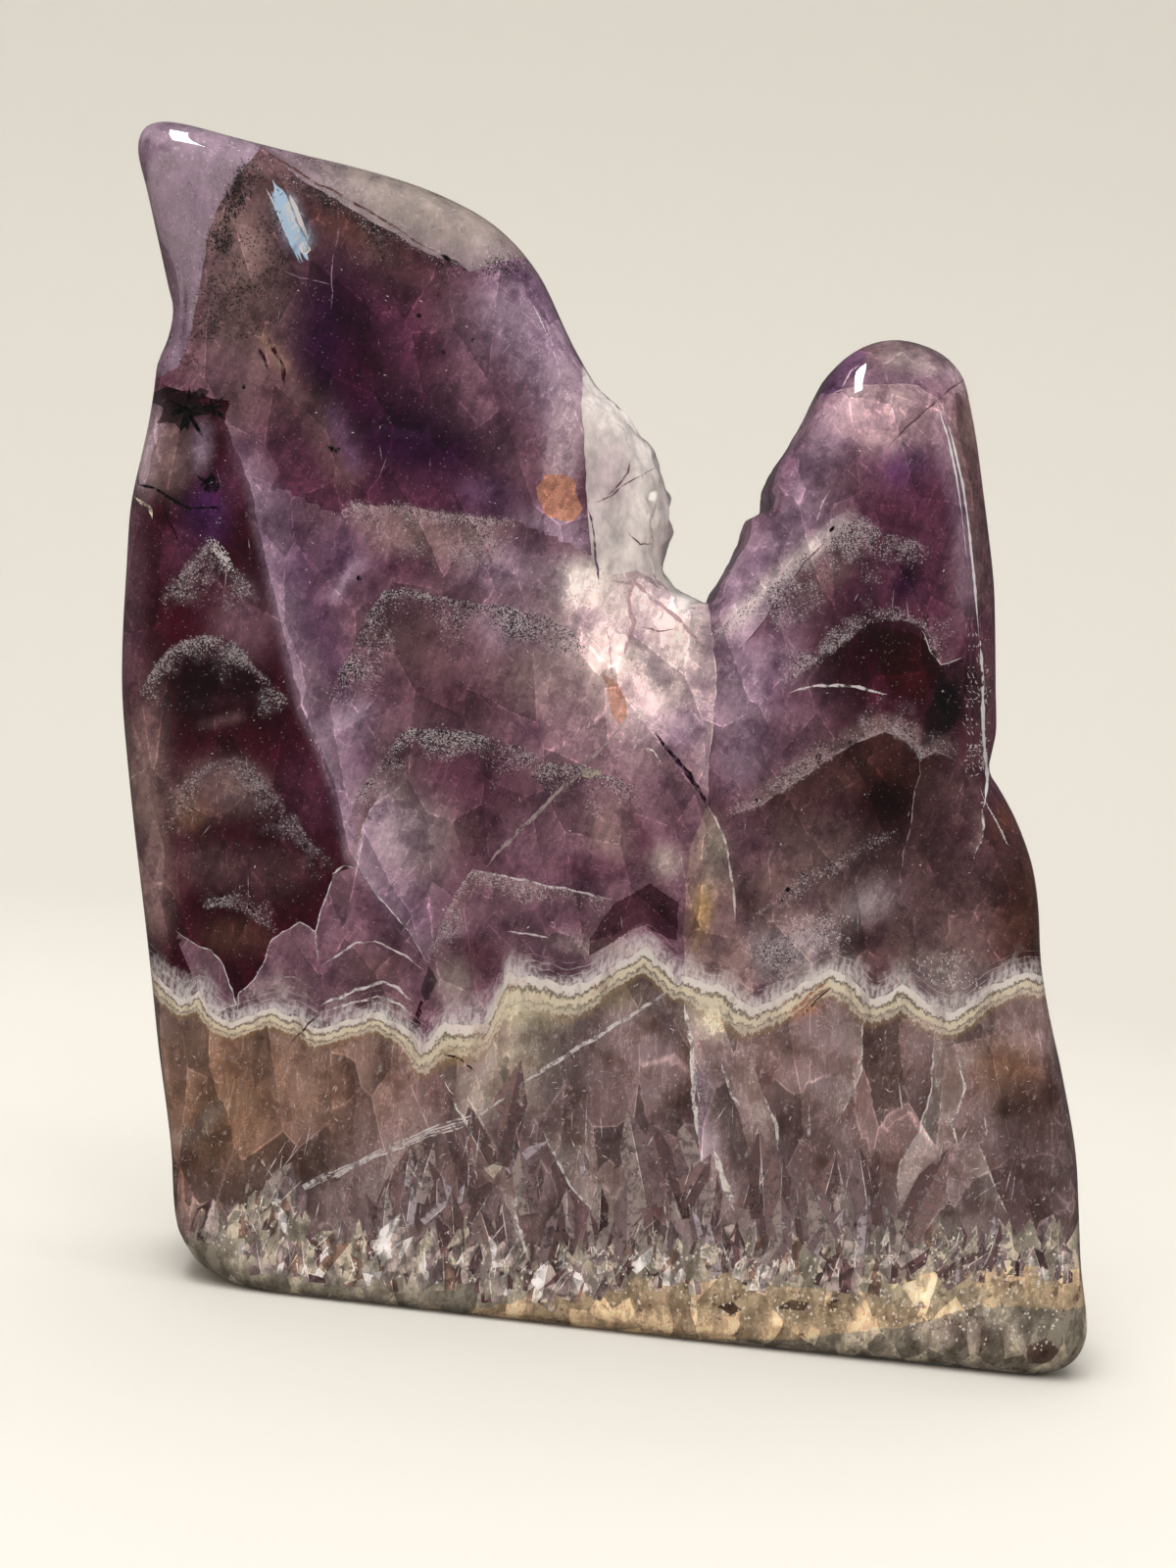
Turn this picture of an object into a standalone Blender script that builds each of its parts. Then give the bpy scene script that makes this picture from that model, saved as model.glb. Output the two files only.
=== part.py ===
"""A polished slab of banded amethyst with two peaks, cut flat underneath so that it stands.

The slab faces -Y, with +X to the right and +Z up. The origin is under the middle of the slab,
on the plane of its flat base. One grown piece of stone makes one solid.
"""

import math

import bmesh
import bpy
import numpy as np
from mathutils import Vector, noise

MM = 0.001

# Driving dimensions, in millimetres.
THICKNESS_AT_BASE = 18.0
THICKNESS_AT_TOP = 14.0
HEIGHT = 90.0
POINT_SPACING = 1.65
BROKEN_SPACING = 1.1

# The outline of the slab as seen from the front, anticlockwise, as (x, z) in millimetres.
# Each stretch runs on from the one before it.
BASE_LEFT = [(-22.4, 0.0), (12.0, 0.0)]
BASE_RIGHT = [(30.0, 0.0), (38.0, 0.0)]
LOWER_RIGHT_CORNER = [(40.3, 0.5), (41.7, 1.6), (42.3, 3.3), (42.1, 5.2)]
LOWER_RIGHT_FLANK = [
    (41.4, 8.4), (40.7, 13.0), (39.9, 17.7), (38.1, 23.8), (36.6, 28.2), (35.5, 32.2),
    (34.8, 36.5), (33.9, 39.8), (32.2, 43.2), (30.6, 45.5),
]
UPPER_RIGHT_FLANK = [
    (29.8, 46.6), (30.0, 49.6), (29.6, 53.0), (29.1, 57.1), (28.5, 61.3), (27.7, 64.9),
    (26.8, 68.6), (25.9, 72.2),
]
SMALL_PEAK_RIGHT = [(25.0, 75.2), (24.3, 77.1)]
SMALL_PEAK_TOP = [(23.0, 78.5), (21.3, 79.3), (19.0, 79.6), (17.0, 79.1), (15.2, 77.8)]
SMALL_PEAK_LEFT = [(13.8, 76.0), (13.1, 74.4)]
NOTCH_RIGHT_SIDE = [
    (12.4, 72.2), (11.4, 70.7), (10.4, 68.8), (9.8, 66.5), (10.0, 65.2), (8.7, 64.2),
    (8.3, 62.2), (7.3, 59.8),
]
NOTCH_BOTTOM = [(6.3, 57.2), (5.3, 57.6)]
NOTCH_LEFT_SIDE = [
    (3.7, 58.2), (2.6, 59.5), (2.5, 60.8), (3.1, 62.5), (2.7, 64.0),
    (2.6, 65.3), (1.9, 67.1), (0.7, 69.0), (-0.7, 70.7), (-1.6, 71.8), (-3.3, 72.8),
]
GREAT_PEAK_SLOPE = [
    (-5.0, 74.1), (-6.7, 76.2), (-8.3, 78.8), (-9.8, 81.2), (-11.6, 83.2), (-13.7, 84.8),
    (-16.2, 86.0), (-19.6, 87.1), (-24.3, 88.0), (-29.8, 88.7), (-35.0, 89.4),
]
GREAT_PEAK_TIP = [(-38.6, 89.9), (-40.4, 89.95), (-41.8, 89.4), (-42.3, 88.1), (-42.1, 86.8)]
UPPER_LEFT_FLANK = [(-41.3, 84.7), (-40.3, 81.8), (-39.4, 79.2), (-38.6, 76.9), (-37.9, 74.9)]
LEFT_NICK = [(-38.2, 73.0), (-38.8, 70.9)]
LEFT_FLANK = [
    (-38.9, 67.3), (-39.3, 63.7), (-39.7, 59.8), (-39.5, 55.0), (-39.2, 49.6), (-38.7, 44.8),
    (-37.6, 39.2), (-36.3, 33.3), (-35.1, 28.2), (-33.9, 22.9), (-32.7, 17.4), (-31.5, 12.6),
    (-30.7, 9.2),
]
LOWER_LEFT_CORNER = [(-30.1, 6.0), (-29.3, 3.5), (-27.9, 1.7), (-25.6, 0.5)]

# How each stretch is finished: its points, the width that the polished rim takes off the face,
# the depth that it takes off the side, how flat the rim is (0 round, 1 a plain facet), and how
# far broken stone stands back from the outline, all but the flatness in millimetres.
STRETCHES = [
    (BASE_LEFT, 1.6, 1.6, 0.0, 0.0),
    (BASE_RIGHT, 3.0, 2.4, 0.0, 0.0),
    (LOWER_RIGHT_CORNER, 3.4, 3.0, 0.0, 0.0),
    (LOWER_RIGHT_FLANK, 2.4, 3.4, 0.2, 0.0),
    (UPPER_RIGHT_FLANK, 2.5, 3.6, 0.8, 0.0),
    (SMALL_PEAK_RIGHT, 2.4, 3.6, 0.7, 0.0),
    (SMALL_PEAK_TOP, 3.6, 4.0, 0.6, 0.0),
    (SMALL_PEAK_LEFT, 1.4, 2.4, 0.5, 0.0),
    (NOTCH_RIGHT_SIDE, 0.7, 1.2, 0.5, 0.7),
    (NOTCH_BOTTOM, 0.8, 1.4, 0.5, 0.2),
    (NOTCH_LEFT_SIDE, 1.4, 2.6, 0.7, 1.1),
    (GREAT_PEAK_SLOPE, 2.6, 3.6, 0.1, 0.0),
    (GREAT_PEAK_TIP, 2.3, 3.6, 0.0, 0.0),
    (UPPER_LEFT_FLANK, 2.2, 3.4, 0.1, 0.0),
    (LEFT_NICK, 1.4, 2.2, 0.3, 0.2),
    (LEFT_FLANK, 2.2, 3.4, 0.2, 0.0),
    (LOWER_LEFT_CORNER, 2.2, 2.6, 0.0, 0.0),
]

RIM_ANGLES = (90.0, 68.0, 46.0, 23.0, 0.0)
WALL_PLACES = (0.2, 0.4, 0.6, 0.8)
WALL_CROWN = 0.3
BASE_ZONE = 3.0
MARCH_STEP = 0.2
MARCH_SMOOTHING = 0.3
FINISH_BLEND_PASSES = 4
CHIP_SIZE = 2.6
CHIP_LEVELS = 4
LEAST_CHIP = 0.05
RIM_SHADE_ANGLE = math.radians(32)

AMETHYST = (0.23, 0.13, 0.27, 1.0)
AMETHYST_ROUGHNESS = 0.08


def curve_point(before, start, end, after, share):
    """The point at share of the way from start to end on the smooth curve through all four."""
    length = np.linalg.norm(end - start)
    leaving = (end - before) * length / np.linalg.norm(end - before)
    arriving = (after - start) * length / np.linalg.norm(after - start)
    square, cube = share**2, share**3
    return (
        (2 * cube - 3 * square + 1) * start
        + (cube - 2 * square + share) * leaving
        + (3 * square - 2 * cube) * end
        + (cube - square) * arriving
    )


def sample_outline():
    """Points along the outline, and the finish at each of them."""
    corners = []
    for points, *finish in STRETCHES:
        corners += [(np.array(point), finish) for point in points]
    count = len(corners)
    samples, finishes = [], []
    for i in range(count):
        (before, _), (start, finish) = corners[i - 1], corners[i]
        (end, next_finish), (after, _) = corners[(i + 1) % count], corners[(i + 2) % count]
        broken = finish[3] > 0.5
        straight = broken or start[1] == end[1] == 0
        spacing = BROKEN_SPACING if broken else POINT_SPACING
        steps = max(1, round(np.linalg.norm(end - start) / spacing))
        for step in range(steps):
            share = step / steps
            if straight:
                samples.append(start + share * (end - start))
            else:
                samples.append(curve_point(before, start, end, after, share))
            finishes.append(np.array(finish) * (1 - share) + np.array(next_finish) * share)
    return np.array(samples), np.array(finishes)


def blended(values, passes):
    """Values along the closed outline, evened out between neighbours."""
    for _ in range(passes):
        values = (np.roll(values, 1, 0) + 2 * values + np.roll(values, -1, 0)) / 4
    return values


def inward_normals(points):
    """Unit vectors from each point of an anticlockwise outline into the stone."""
    tangent = np.roll(points, -1, 0) - np.roll(points, 1, 0)
    tangent /= np.linalg.norm(tangent, axis=1)[:, None]
    return np.stack([-tangent[:, 1], tangent[:, 0]], 1)


def march_inward(points, furthest):
    """Outlines at MARCH_STEP apart, each inside the one before, kept from crossing themselves."""
    layers = [points]
    for _ in range(math.ceil(furthest / MARCH_STEP) + 1):
        points = points + MARCH_STEP * inward_normals(points)
        middle = (np.roll(points, 1, 0) + np.roll(points, -1, 0)) / 2
        points = points + MARCH_SMOOTHING * (middle - points)
        layers.append(points)
    return np.array(layers)


def inset(layers, distances):
    """The outline with each of its points moved into the stone by its own distance."""
    places = distances / MARCH_STEP
    lower = np.floor(places).astype(int)
    share = (places - lower)[:, None]
    index = np.arange(len(distances))
    return layers[lower, index] * (1 - share) + layers[lower + 1, index] * share


def chipped(place):
    """How far broken stone stands back at a place, from 0 to 1, in steps like chipped ledges."""
    spot = Vector(place) / CHIP_SIZE
    depth = 0.5 + 0.5 * noise.fractal(spot, 0.6, 2.1, 3)
    stepped = round(depth * CHIP_LEVELS) / CHIP_LEVELS
    return min(1.0, max(0.0, 0.35 * depth + 0.65 * stepped))


def half_thickness(height):
    """Half of the slab's thickness at a height."""
    share = np.clip(height / HEIGHT, 0, 1)
    return (THICKNESS_AT_BASE * (1 - share) + THICKNESS_AT_TOP * share) / 2


def set_back(flat, y, layers, finishes):
    """An outline with its broken stretches moved into the stone, in ledges that change with depth."""
    normals = inward_normals(layers[0])
    moved = flat.copy()
    for i in np.flatnonzero(finishes[:, 3] > LEAST_CHIP):
        depth = finishes[i, 3] * chipped((flat[i, 0], y[i], flat[i, 1]))
        moved[i] += depth * normals[i]
    return moved


def ring_of(flat, share, layers, finishes):
    """An outline as a ring of points in space, each at its share of the half thickness."""
    flat = set_back(flat, share * half_thickness(flat[:, 1]), layers, finishes)
    return np.column_stack([flat[:, 0], share * half_thickness(flat[:, 1]), flat[:, 1]])


def rim_ring(layers, finishes, angle, side):
    """One ring of the rounded rim. angle is 90 at the face and 0 at the side wall; side is -1 or 1."""
    width, depth, flatness, _ = finishes.T
    turn = math.radians(angle)
    along = angle / 90
    across = (1 - math.cos(turn)) * (1 - flatness) + along * flatness
    down = (1 - math.sin(turn)) * (1 - flatness) + (1 - along) * flatness
    flat = inset(layers, width * across)
    share = side * (1 - depth * down / half_thickness(flat[:, 1]))
    return ring_of(flat, share, layers, finishes)


def wall_ring(layers, finishes, place):
    """One ring of the side wall, place of the way from the front rim to the back rim.

    Hand polishing leaves the wall a little swelled, except under the flat base.
    """
    outline = layers[0]
    reach = 1 - finishes[:, 1] / half_thickness(outline[:, 1])
    swell = WALL_CROWN * 4 * place * (1 - place) * (outline[:, 1] > BASE_ZONE)
    flat = outline - swell[:, None] * inward_normals(outline)
    return ring_of(flat, (2 * place - 1) * reach, layers, finishes)


def slab_rings():
    """Every ring of points from the front face, round the rim and the wall, to the back face."""
    outline, finishes = sample_outline()
    finishes = blended(finishes, FINISH_BLEND_PASSES)
    layers = march_inward(outline, finishes[:, 0].max())
    front = [rim_ring(layers, finishes, angle, -1) for angle in RIM_ANGLES]
    wall = [wall_ring(layers, finishes, place) for place in WALL_PLACES]
    back = [rim_ring(layers, finishes, angle, 1) for angle in reversed(RIM_ANGLES)]
    return front + wall + back


def stone_material():
    material = bpy.data.materials.new("polished_amethyst")
    material.use_nodes = True
    shader = material.node_tree.nodes["Principled BSDF"]
    shader.inputs["Base Color"].default_value = AMETHYST
    shader.inputs["Roughness"].default_value = AMETHYST_ROUGHNESS
    shader.inputs["Metallic"].default_value = 0.0
    material.diffuse_color = AMETHYST
    return material


def build_slab():
    """The whole slab as one closed mesh: bands between the rings, and the two flat faces."""
    mesh = bpy.data.meshes.new("amethyst_slab")
    bm = bmesh.new()
    rings = [[bm.verts.new(Vector(point) * MM) for point in ring] for ring in slab_rings()]
    count = len(rings[0])
    for front, back in zip(rings, rings[1:]):
        for i in range(count):
            after = (i + 1) % count
            bm.faces.new((front[i], back[i], back[after], front[after]))
    faces = [bm.faces.new(rings[0]), bm.faces.new(reversed(rings[-1]))]
    bmesh.ops.triangulate(bm, faces=faces, quad_method="BEAUTY", ngon_method="BEAUTY")
    bmesh.ops.recalc_face_normals(bm, faces=bm.faces)
    bm.to_mesh(mesh)
    bm.free()
    mesh.materials.append(stone_material())
    mesh.shade_smooth()
    mesh.set_sharp_from_angle(angle=RIM_SHADE_ANGLE)
    slab = bpy.data.objects.new("amethyst_slab", mesh)
    bpy.context.scene.collection.objects.link(slab)
    return slab


def main():
    for old in list(bpy.data.objects):
        bpy.data.objects.remove(old, do_unlink=True)
    build_slab()


main()
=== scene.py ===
import math
import random

import bmesh
import bpy
import numpy as np
from mathutils import Matrix, Vector, noise
from mathutils.geometry import delaunay_2d_cdt


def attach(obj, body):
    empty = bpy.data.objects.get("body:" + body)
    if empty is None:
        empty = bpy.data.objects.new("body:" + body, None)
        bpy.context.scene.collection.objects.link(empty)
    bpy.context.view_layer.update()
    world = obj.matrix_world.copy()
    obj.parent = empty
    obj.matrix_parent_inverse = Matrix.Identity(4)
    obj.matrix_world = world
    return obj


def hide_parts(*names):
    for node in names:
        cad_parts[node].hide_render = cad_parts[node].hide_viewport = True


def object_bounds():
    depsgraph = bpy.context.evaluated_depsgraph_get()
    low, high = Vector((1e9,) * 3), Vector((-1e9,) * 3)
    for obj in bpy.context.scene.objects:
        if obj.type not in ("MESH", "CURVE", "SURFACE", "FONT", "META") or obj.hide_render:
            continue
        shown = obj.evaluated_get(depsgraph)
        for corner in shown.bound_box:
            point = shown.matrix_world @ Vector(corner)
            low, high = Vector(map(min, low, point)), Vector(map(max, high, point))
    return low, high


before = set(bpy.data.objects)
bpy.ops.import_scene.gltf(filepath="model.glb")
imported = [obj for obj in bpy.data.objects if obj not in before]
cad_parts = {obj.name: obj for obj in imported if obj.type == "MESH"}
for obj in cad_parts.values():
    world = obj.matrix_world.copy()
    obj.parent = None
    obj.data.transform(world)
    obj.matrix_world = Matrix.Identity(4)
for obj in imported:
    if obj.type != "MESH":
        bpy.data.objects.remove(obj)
CAD_LOW, CAD_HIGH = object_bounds()

MM = 0.001
NODE = "amethyst_slab"

# Seeds, so that every run draws the same stone.
NOISE_SEED = 3
DRAW_SEED = 41
noise.seed_set(NOISE_SEED)

# The size of the stone, and its outline seen from the front, anticlockwise, as (x, z). All
# lengths are in millimetres unless a line says otherwise.
THICKNESS_AT_BASE = 18.0
THICKNESS_AT_TOP = 14.0
HEIGHT = 90.0
BASE_LEFT = [(-22.4, 0.0), (12.0, 0.0)]
BASE_RIGHT = [(30.0, 0.0), (38.0, 0.0)]
LOWER_RIGHT_CORNER = [(40.3, 0.5), (41.7, 1.6), (42.3, 3.3), (42.1, 5.2)]
LOWER_RIGHT_FLANK = [
    (41.4, 8.4), (40.7, 13.0), (39.9, 17.7), (38.1, 23.8), (36.6, 28.2), (35.5, 32.2),
    (34.8, 36.5), (33.9, 39.8), (32.2, 43.2), (30.6, 45.5),
]
UPPER_RIGHT_FLANK = [
    (29.8, 46.6), (30.0, 49.6), (29.6, 53.0), (29.1, 57.1), (28.5, 61.3), (27.7, 64.9),
    (26.8, 68.6), (25.9, 72.2),
]
SMALL_PEAK_RIGHT = [(25.0, 75.2), (24.3, 77.1)]
SMALL_PEAK_TOP = [(23.0, 78.5), (21.3, 79.3), (19.0, 79.6), (17.0, 79.1), (15.2, 77.8)]
SMALL_PEAK_LEFT = [(13.8, 76.0), (13.1, 74.4)]
NOTCH_RIGHT_SIDE = [
    (12.4, 72.2), (11.4, 70.7), (10.4, 68.8), (9.8, 66.5), (10.0, 65.2), (8.7, 64.2),
    (8.3, 62.2), (7.3, 59.8),
]
NOTCH_BOTTOM = [(6.3, 57.2), (5.3, 57.6)]
NOTCH_LEFT_SIDE = [
    (3.7, 58.2), (2.6, 59.5), (2.5, 60.8), (3.1, 62.5), (2.7, 64.0),
    (2.6, 65.3), (1.9, 67.1), (0.7, 69.0), (-0.7, 70.7), (-1.6, 71.8), (-3.3, 72.8),
]
GREAT_PEAK_SLOPE = [
    (-5.0, 74.1), (-6.7, 76.2), (-8.3, 78.8), (-9.8, 81.2), (-11.6, 83.2), (-13.7, 84.8),
    (-16.2, 86.0), (-19.6, 87.1), (-24.3, 88.0), (-29.8, 88.7), (-35.0, 89.4),
]
GREAT_PEAK_TIP = [(-38.6, 89.9), (-40.4, 89.95), (-41.8, 89.4), (-42.3, 88.1), (-42.1, 86.8)]
UPPER_LEFT_FLANK = [(-41.3, 84.7), (-40.3, 81.8), (-39.4, 79.2), (-38.6, 76.9), (-37.9, 74.9)]
LEFT_NICK = [(-38.2, 73.0), (-38.8, 70.9)]
LEFT_FLANK = [
    (-38.9, 67.3), (-39.3, 63.7), (-39.7, 59.8), (-39.5, 55.0), (-39.2, 49.6), (-38.7, 44.8),
    (-37.6, 39.2), (-36.3, 33.3), (-35.1, 28.2), (-33.9, 22.9), (-32.7, 17.4), (-31.5, 12.6),
    (-30.7, 9.2),
]
LOWER_LEFT_CORNER = [(-30.1, 6.0), (-29.3, 3.5), (-27.9, 1.7), (-25.6, 0.5)]

# How each stretch is finished: its points, rim width on the face, rim depth on the side,
# flatness of the rim, and how far broken stone stands back.
STRETCHES = [
    (BASE_LEFT, 1.6, 1.6, 0.0, 0.0),
    (BASE_RIGHT, 3.0, 2.4, 0.0, 0.0),
    (LOWER_RIGHT_CORNER, 3.4, 3.0, 0.0, 0.0),
    (LOWER_RIGHT_FLANK, 2.4, 3.4, 0.2, 0.0),
    (UPPER_RIGHT_FLANK, 2.5, 3.6, 0.8, 0.0),
    (SMALL_PEAK_RIGHT, 2.4, 3.6, 0.7, 0.0),
    (SMALL_PEAK_TOP, 3.6, 4.0, 0.6, 0.0),
    (SMALL_PEAK_LEFT, 1.4, 2.4, 0.5, 0.0),
    (NOTCH_RIGHT_SIDE, 0.7, 1.2, 0.5, 0.7),
    (NOTCH_BOTTOM, 0.8, 1.4, 0.5, 0.2),
    (NOTCH_LEFT_SIDE, 1.4, 2.6, 0.7, 1.1),
    (GREAT_PEAK_SLOPE, 2.6, 3.6, 0.1, 0.0),
    (GREAT_PEAK_TIP, 2.3, 3.6, 0.0, 0.0),
    (UPPER_LEFT_FLANK, 2.2, 3.4, 0.1, 0.0),
    (LEFT_NICK, 1.4, 2.2, 0.3, 0.2),
    (LEFT_FLANK, 2.2, 3.4, 0.2, 0.0),
    (LOWER_LEFT_CORNER, 2.2, 2.6, 0.0, 0.0),
]

# How finely the skin is made: the spacing of the outline's points, smooth and broken, the rings
# of the rim and the side wall, the points on the flat faces, how many times more points each
# ring gets in the end, and the bend in degrees over which an edge is sharp.
POINT_SPACING = 1.65
BROKEN_SPACING = 1.1
RIM_STEPS = 10
WALL_STEPS = 8
FACE_MARGIN = 0.5
FACE_SPACING = 3.0
REFINEMENT = 3
SHARPEST_BEND = 38
FACE_TOLERANCE = 1e-7

# How the skin's form runs: the side wall's swell over the flat foot, the steps in which the
# outline moves into the stone, and the ledges of broken stone.
WALL_CROWN = 0.3
BASE_ZONE = 3.0
MARCH_STEP = 0.2
MARCH_SMOOTHING = 0.3
FINISH_BLEND_PASSES = 4
CHIP_SIZE = 2.6
CHIP_LEVELS = 4
LEAST_CHIP = 0.05

# Lines inside the stone, from the top down.
PHANTOM_RIGHT = [
    (-32.5, 88.0), (-29.4, 86.3), (-25.8, 84.7), (-21.4, 82.7), (-18.2, 81.4), (-15.0, 80.5),
    (-13.2, 81.3), (-11.6, 82.0), (-9.0, 82.2),
]
PHANTOM_LEFT = [
    (-32.5, 88.0), (-33.6, 85.9), (-34.8, 83.5), (-35.4, 81.4), (-35.6, 79.1), (-35.7, 76.9),
    (-35.9, 73.8), (-36.1, 72.1),
]
CAP_LOWER_LEFT = [(-36.1, 72.1), (-36.6, 70.6), (-37.8, 69.7), (-40.5, 69.2)]
WINDOW_EDGE = [
    (-6.3, 75.2), (-5.1, 69.9), (-4.4, 66.3), (-3.9, 62.6), (-3.1, 59.1), (-1.9, 58.3), (0.3, 58.9),
    (2.2, 58.2), (4.2, 56.0),
]
PALE_BOUNDARY = [
    (-32.3, 68.3), (-32.6, 66.8), (-31.4, 64.6), (-30.1, 62.1), (-28.3, 56.7), (-26.3, 51.2),
    (-24.2, 45.6), (-21.9, 41.7), (-20.6, 38.8), (-19.2, 34.7), (-18.5, 33.7), (-15.4, 29.8),
    (-12.4, 26.7),
]
LEFT_CHEVRON_HIGH = [
    (-36.2, 52.2), (-34.4, 54.6), (-33.2, 56.7), (-32.9, 57.7), (-32.3, 57.1), (-30.6, 55.4),
    (-28.2, 53.4),
]
LEFT_CHEVRON_MIDDLE = [
    (-36.8, 44.8), (-36.1, 46.9), (-35.2, 48.2), (-33.9, 49.6), (-32.0, 50.1), (-30.2, 49.9),
    (-28.8, 48.8), (-26.8, 46.9), (-25.0, 45.5),
]
LEFT_CHEVRON_LOW = [
    (-34.2, 34.5), (-32.4, 38.6), (-30.7, 40.3), (-28.8, 40.9), (-27.0, 39.6), (-24.6, 37.2),
    (-22.0, 34.8), (-20.3, 33.1),
]
LEFT_CHEVRON_LOWEST = [(-30.2, 29.3), (-27.2, 29.8), (-25.8, 29.0), (-24.3, 27.7)]
TOP_ARC = [(-23.4, 60.3), (-22.1, 61.6), (-17.6, 61.8), (-12.9, 61.6), (-9.1, 61.6)]
MIDDLE_PHANTOM_HIGH = [
    (-22.2, 46.2), (-21.1, 49.6), (-19.9, 52.8), (-18.9, 55.1), (-17.4, 55.4), (-13.6, 55.0),
    (-9.9, 54.8), (-6.5, 54.7), (-4.0, 53.6), (-2.0, 51.9),
]
MIDDLE_PHANTOM_MIDDLE = [
    (-19.9, 37.7), (-18.2, 40.9), (-16.6, 43.6), (-15.6, 44.8), (-12.4, 44.9), (-9.6, 44.7),
    (-7.1, 44.3), (-4.9, 43.3), (-2.0, 43.4), (1.1, 42.5), (2.8, 41.9),
]
MIDDLE_PHANTOM_LOW = [
    (-12.4, 26.7), (-11.4, 30.7), (-10.7, 32.6), (-9.7, 34.5), (-8.0, 34.3), (-3.0, 33.9),
    (1.5, 33.4),
]
MIDDLE_LINE = [(-8.7, 34.6), (-8.0, 35.8), (-5.6, 38.9), (-2.6, 42.5), (0.1, 46.1), (0.6, 46.7)]
RIGHT_PHANTOM_HIGH = [
    (6.5, 54.4), (8.2, 56.0), (10.4, 58.3), (12.7, 60.9), (14.6, 62.8), (16.0, 64.1), (17.3, 64.8),
    (19.1, 63.8), (21.1, 63.6), (22.9, 62.6),
]
RIGHT_PHANTOM_MIDDLE = [
    (12.6, 51.3), (15.6, 54.2), (18.8, 57.1), (20.0, 57.5), (21.6, 57.4), (22.9, 57.1), (24.5, 54.4),
]
RIGHT_LINE = [(13.1, 50.8), (13.9, 51.2), (16.8, 51.9), (18.5, 51.9), (20.7, 51.6)]
RIGHT_PHANTOM_LOW = [
    (9.4, 40.6), (11.7, 41.8), (14.7, 44.3), (16.7, 46.0), (18.7, 47.7), (20.9, 48.7), (22.6, 48.2),
    (23.9, 47.0), (24.9, 47.7), (26.6, 47.1),
]
RIGHT_DIAGONAL_HIGH = [(12.1, 33.1), (16.0, 36.3), (19.7, 39.2), (22.8, 41.2)]
RIGHT_DIAGONAL_LOW = [(12.9, 29.7), (16.4, 32.5), (18.4, 34.4)]
BETWEEN_PEAKS = [(6.1, 57.3), (6.8, 54.5), (7.4, 51.5), (7.6, 48.5), (7.6, 45.0), (7.9, 41.5)]
COLUMN_RIGHT = [(7.9, 41.5), (9.3, 39.5), (10.5, 35.8), (11.1, 32.8), (12.5, 29.6), (13.3, 26.4)]
COLUMN_LEFT = [(7.9, 41.5), (7.0, 38.5), (6.9, 35.0), (7.1, 31.6), (7.7, 27.9)]
BAND = [
    (-36.0, 25.3), (-33.2, 23.8), (-32.0, 22.7), (-30.9, 21.9), (-29.6, 22.6), (-28.5, 21.5),
    (-27.0, 20.5), (-23.8, 22.1), (-19.7, 20.9), (-15.7, 22.7), (-12.7, 21.4), (-12.0, 20.4),
    (-10.4, 22.6), (-7.5, 22.6), (-6.9, 24.1), (-6.0, 26.9), (-4.3, 26.8), (-1.1, 26.4),
    (0.6, 27.2), (4.4, 30.1), (6.9, 28.1), (8.6, 28.0), (10.7, 27.7), (12.4, 26.8), (13.3, 26.2),
    (15.9, 28.1), (18.7, 30.1), (20.3, 29.5), (22.4, 27.9), (24.4, 29.5), (27.1, 28.1),
    (28.7, 27.7), (30.8, 29.7), (32.1, 30.6), (33.1, 31.2), (37.0, 31.0),
]
SHARD_LEFT = [
    (-31.9, 27.2), (-29.9, 26.1), (-29.1, 26.0), (-28.2, 25.3), (-26.6, 22.1), (-27.8, 21.4),
    (-29.5, 22.1),
]
SHARD_MIDDLE = [
    (-26.3, 21.0), (-26.6, 23.0), (-25.5, 24.0), (-25.0, 25.2), (-24.6, 27.2), (-22.5, 28.9),
    (-21.2, 28.4), (-20.7, 26.0), (-19.7, 22.2), (-19.3, 21.4), (-23.8, 22.0),
]
SHARD_TALL = [
    (-20.7, 26.3), (-21.2, 28.4), (-20.3, 32.9), (-18.7, 33.7), (-15.4, 29.8), (-12.4, 26.7),
    (-12.3, 25.2), (-12.5, 23.7), (-13.0, 22.1), (-15.7, 22.7), (-19.3, 21.4), (-19.7, 22.2),
]
CRUST_TOP = [
    (-31.0, 2.6), (-27.7, 4.0), (-25.5, 5.2), (-23.5, 6.4), (-21.9, 7.6), (-20.4, 6.7),
    (-19.4, 4.7), (-17.1, 4.7), (-14.8, 5.8), (-13.0, 4.5), (-11.4, 2.7), (-10.7, 3.1),
    (-10.3, 5.5), (-9.1, 5.7), (-7.2, 4.7), (-4.5, 4.4), (-0.4, 5.6), (5.5, 6.9), (14.6, 7.7),
    (22.1, 8.5), (31.4, 10.6), (43.0, 11.6),
]
MATRIX_TOP = [
    (-31.0, 1.6), (-28.3, 1.6), (-24.6, 0.6), (-19.7, 0.4), (-14.1, 0.3), (-5.9, 0.5), (-3.8, 1.3),
    (-1.6, 2.2), (3.0, 3.3), (5.4, 4.4), (8.1, 4.6), (11.5, 4.6), (13.7, 6.0), (18.0, 5.0),
    (22.2, 5.6), (24.7, 6.5), (27.6, 7.1), (30.3, 8.0), (33.0, 8.6), (35.7, 8.9), (38.5, 8.7),
    (43.0, 8.6),
]
MATRIX_BOTTOM = [
    (-31.0, -1.5), (-5.7, -1.5), (15.4, 0.8), (19.8, 1.3), (22.7, 2.0), (25.6, 2.7), (29.0, 3.6),
    (31.6, 4.9), (33.3, 5.4), (36.1, 5.7), (38.9, 5.8), (43.0, 5.9),
]
BLACK_LINE = [(-17.5, 81.5), (-16.5, 81.0), (-15.3, 80.5)]
BROWN_LINE = [
    (-32.4, 87.9), (-30.7, 87.1), (-29.1, 86.5), (-26.2, 85.4), (-23.3, 84.1), (-20.2, 82.7),
    (-17.5, 81.5),
]
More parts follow.
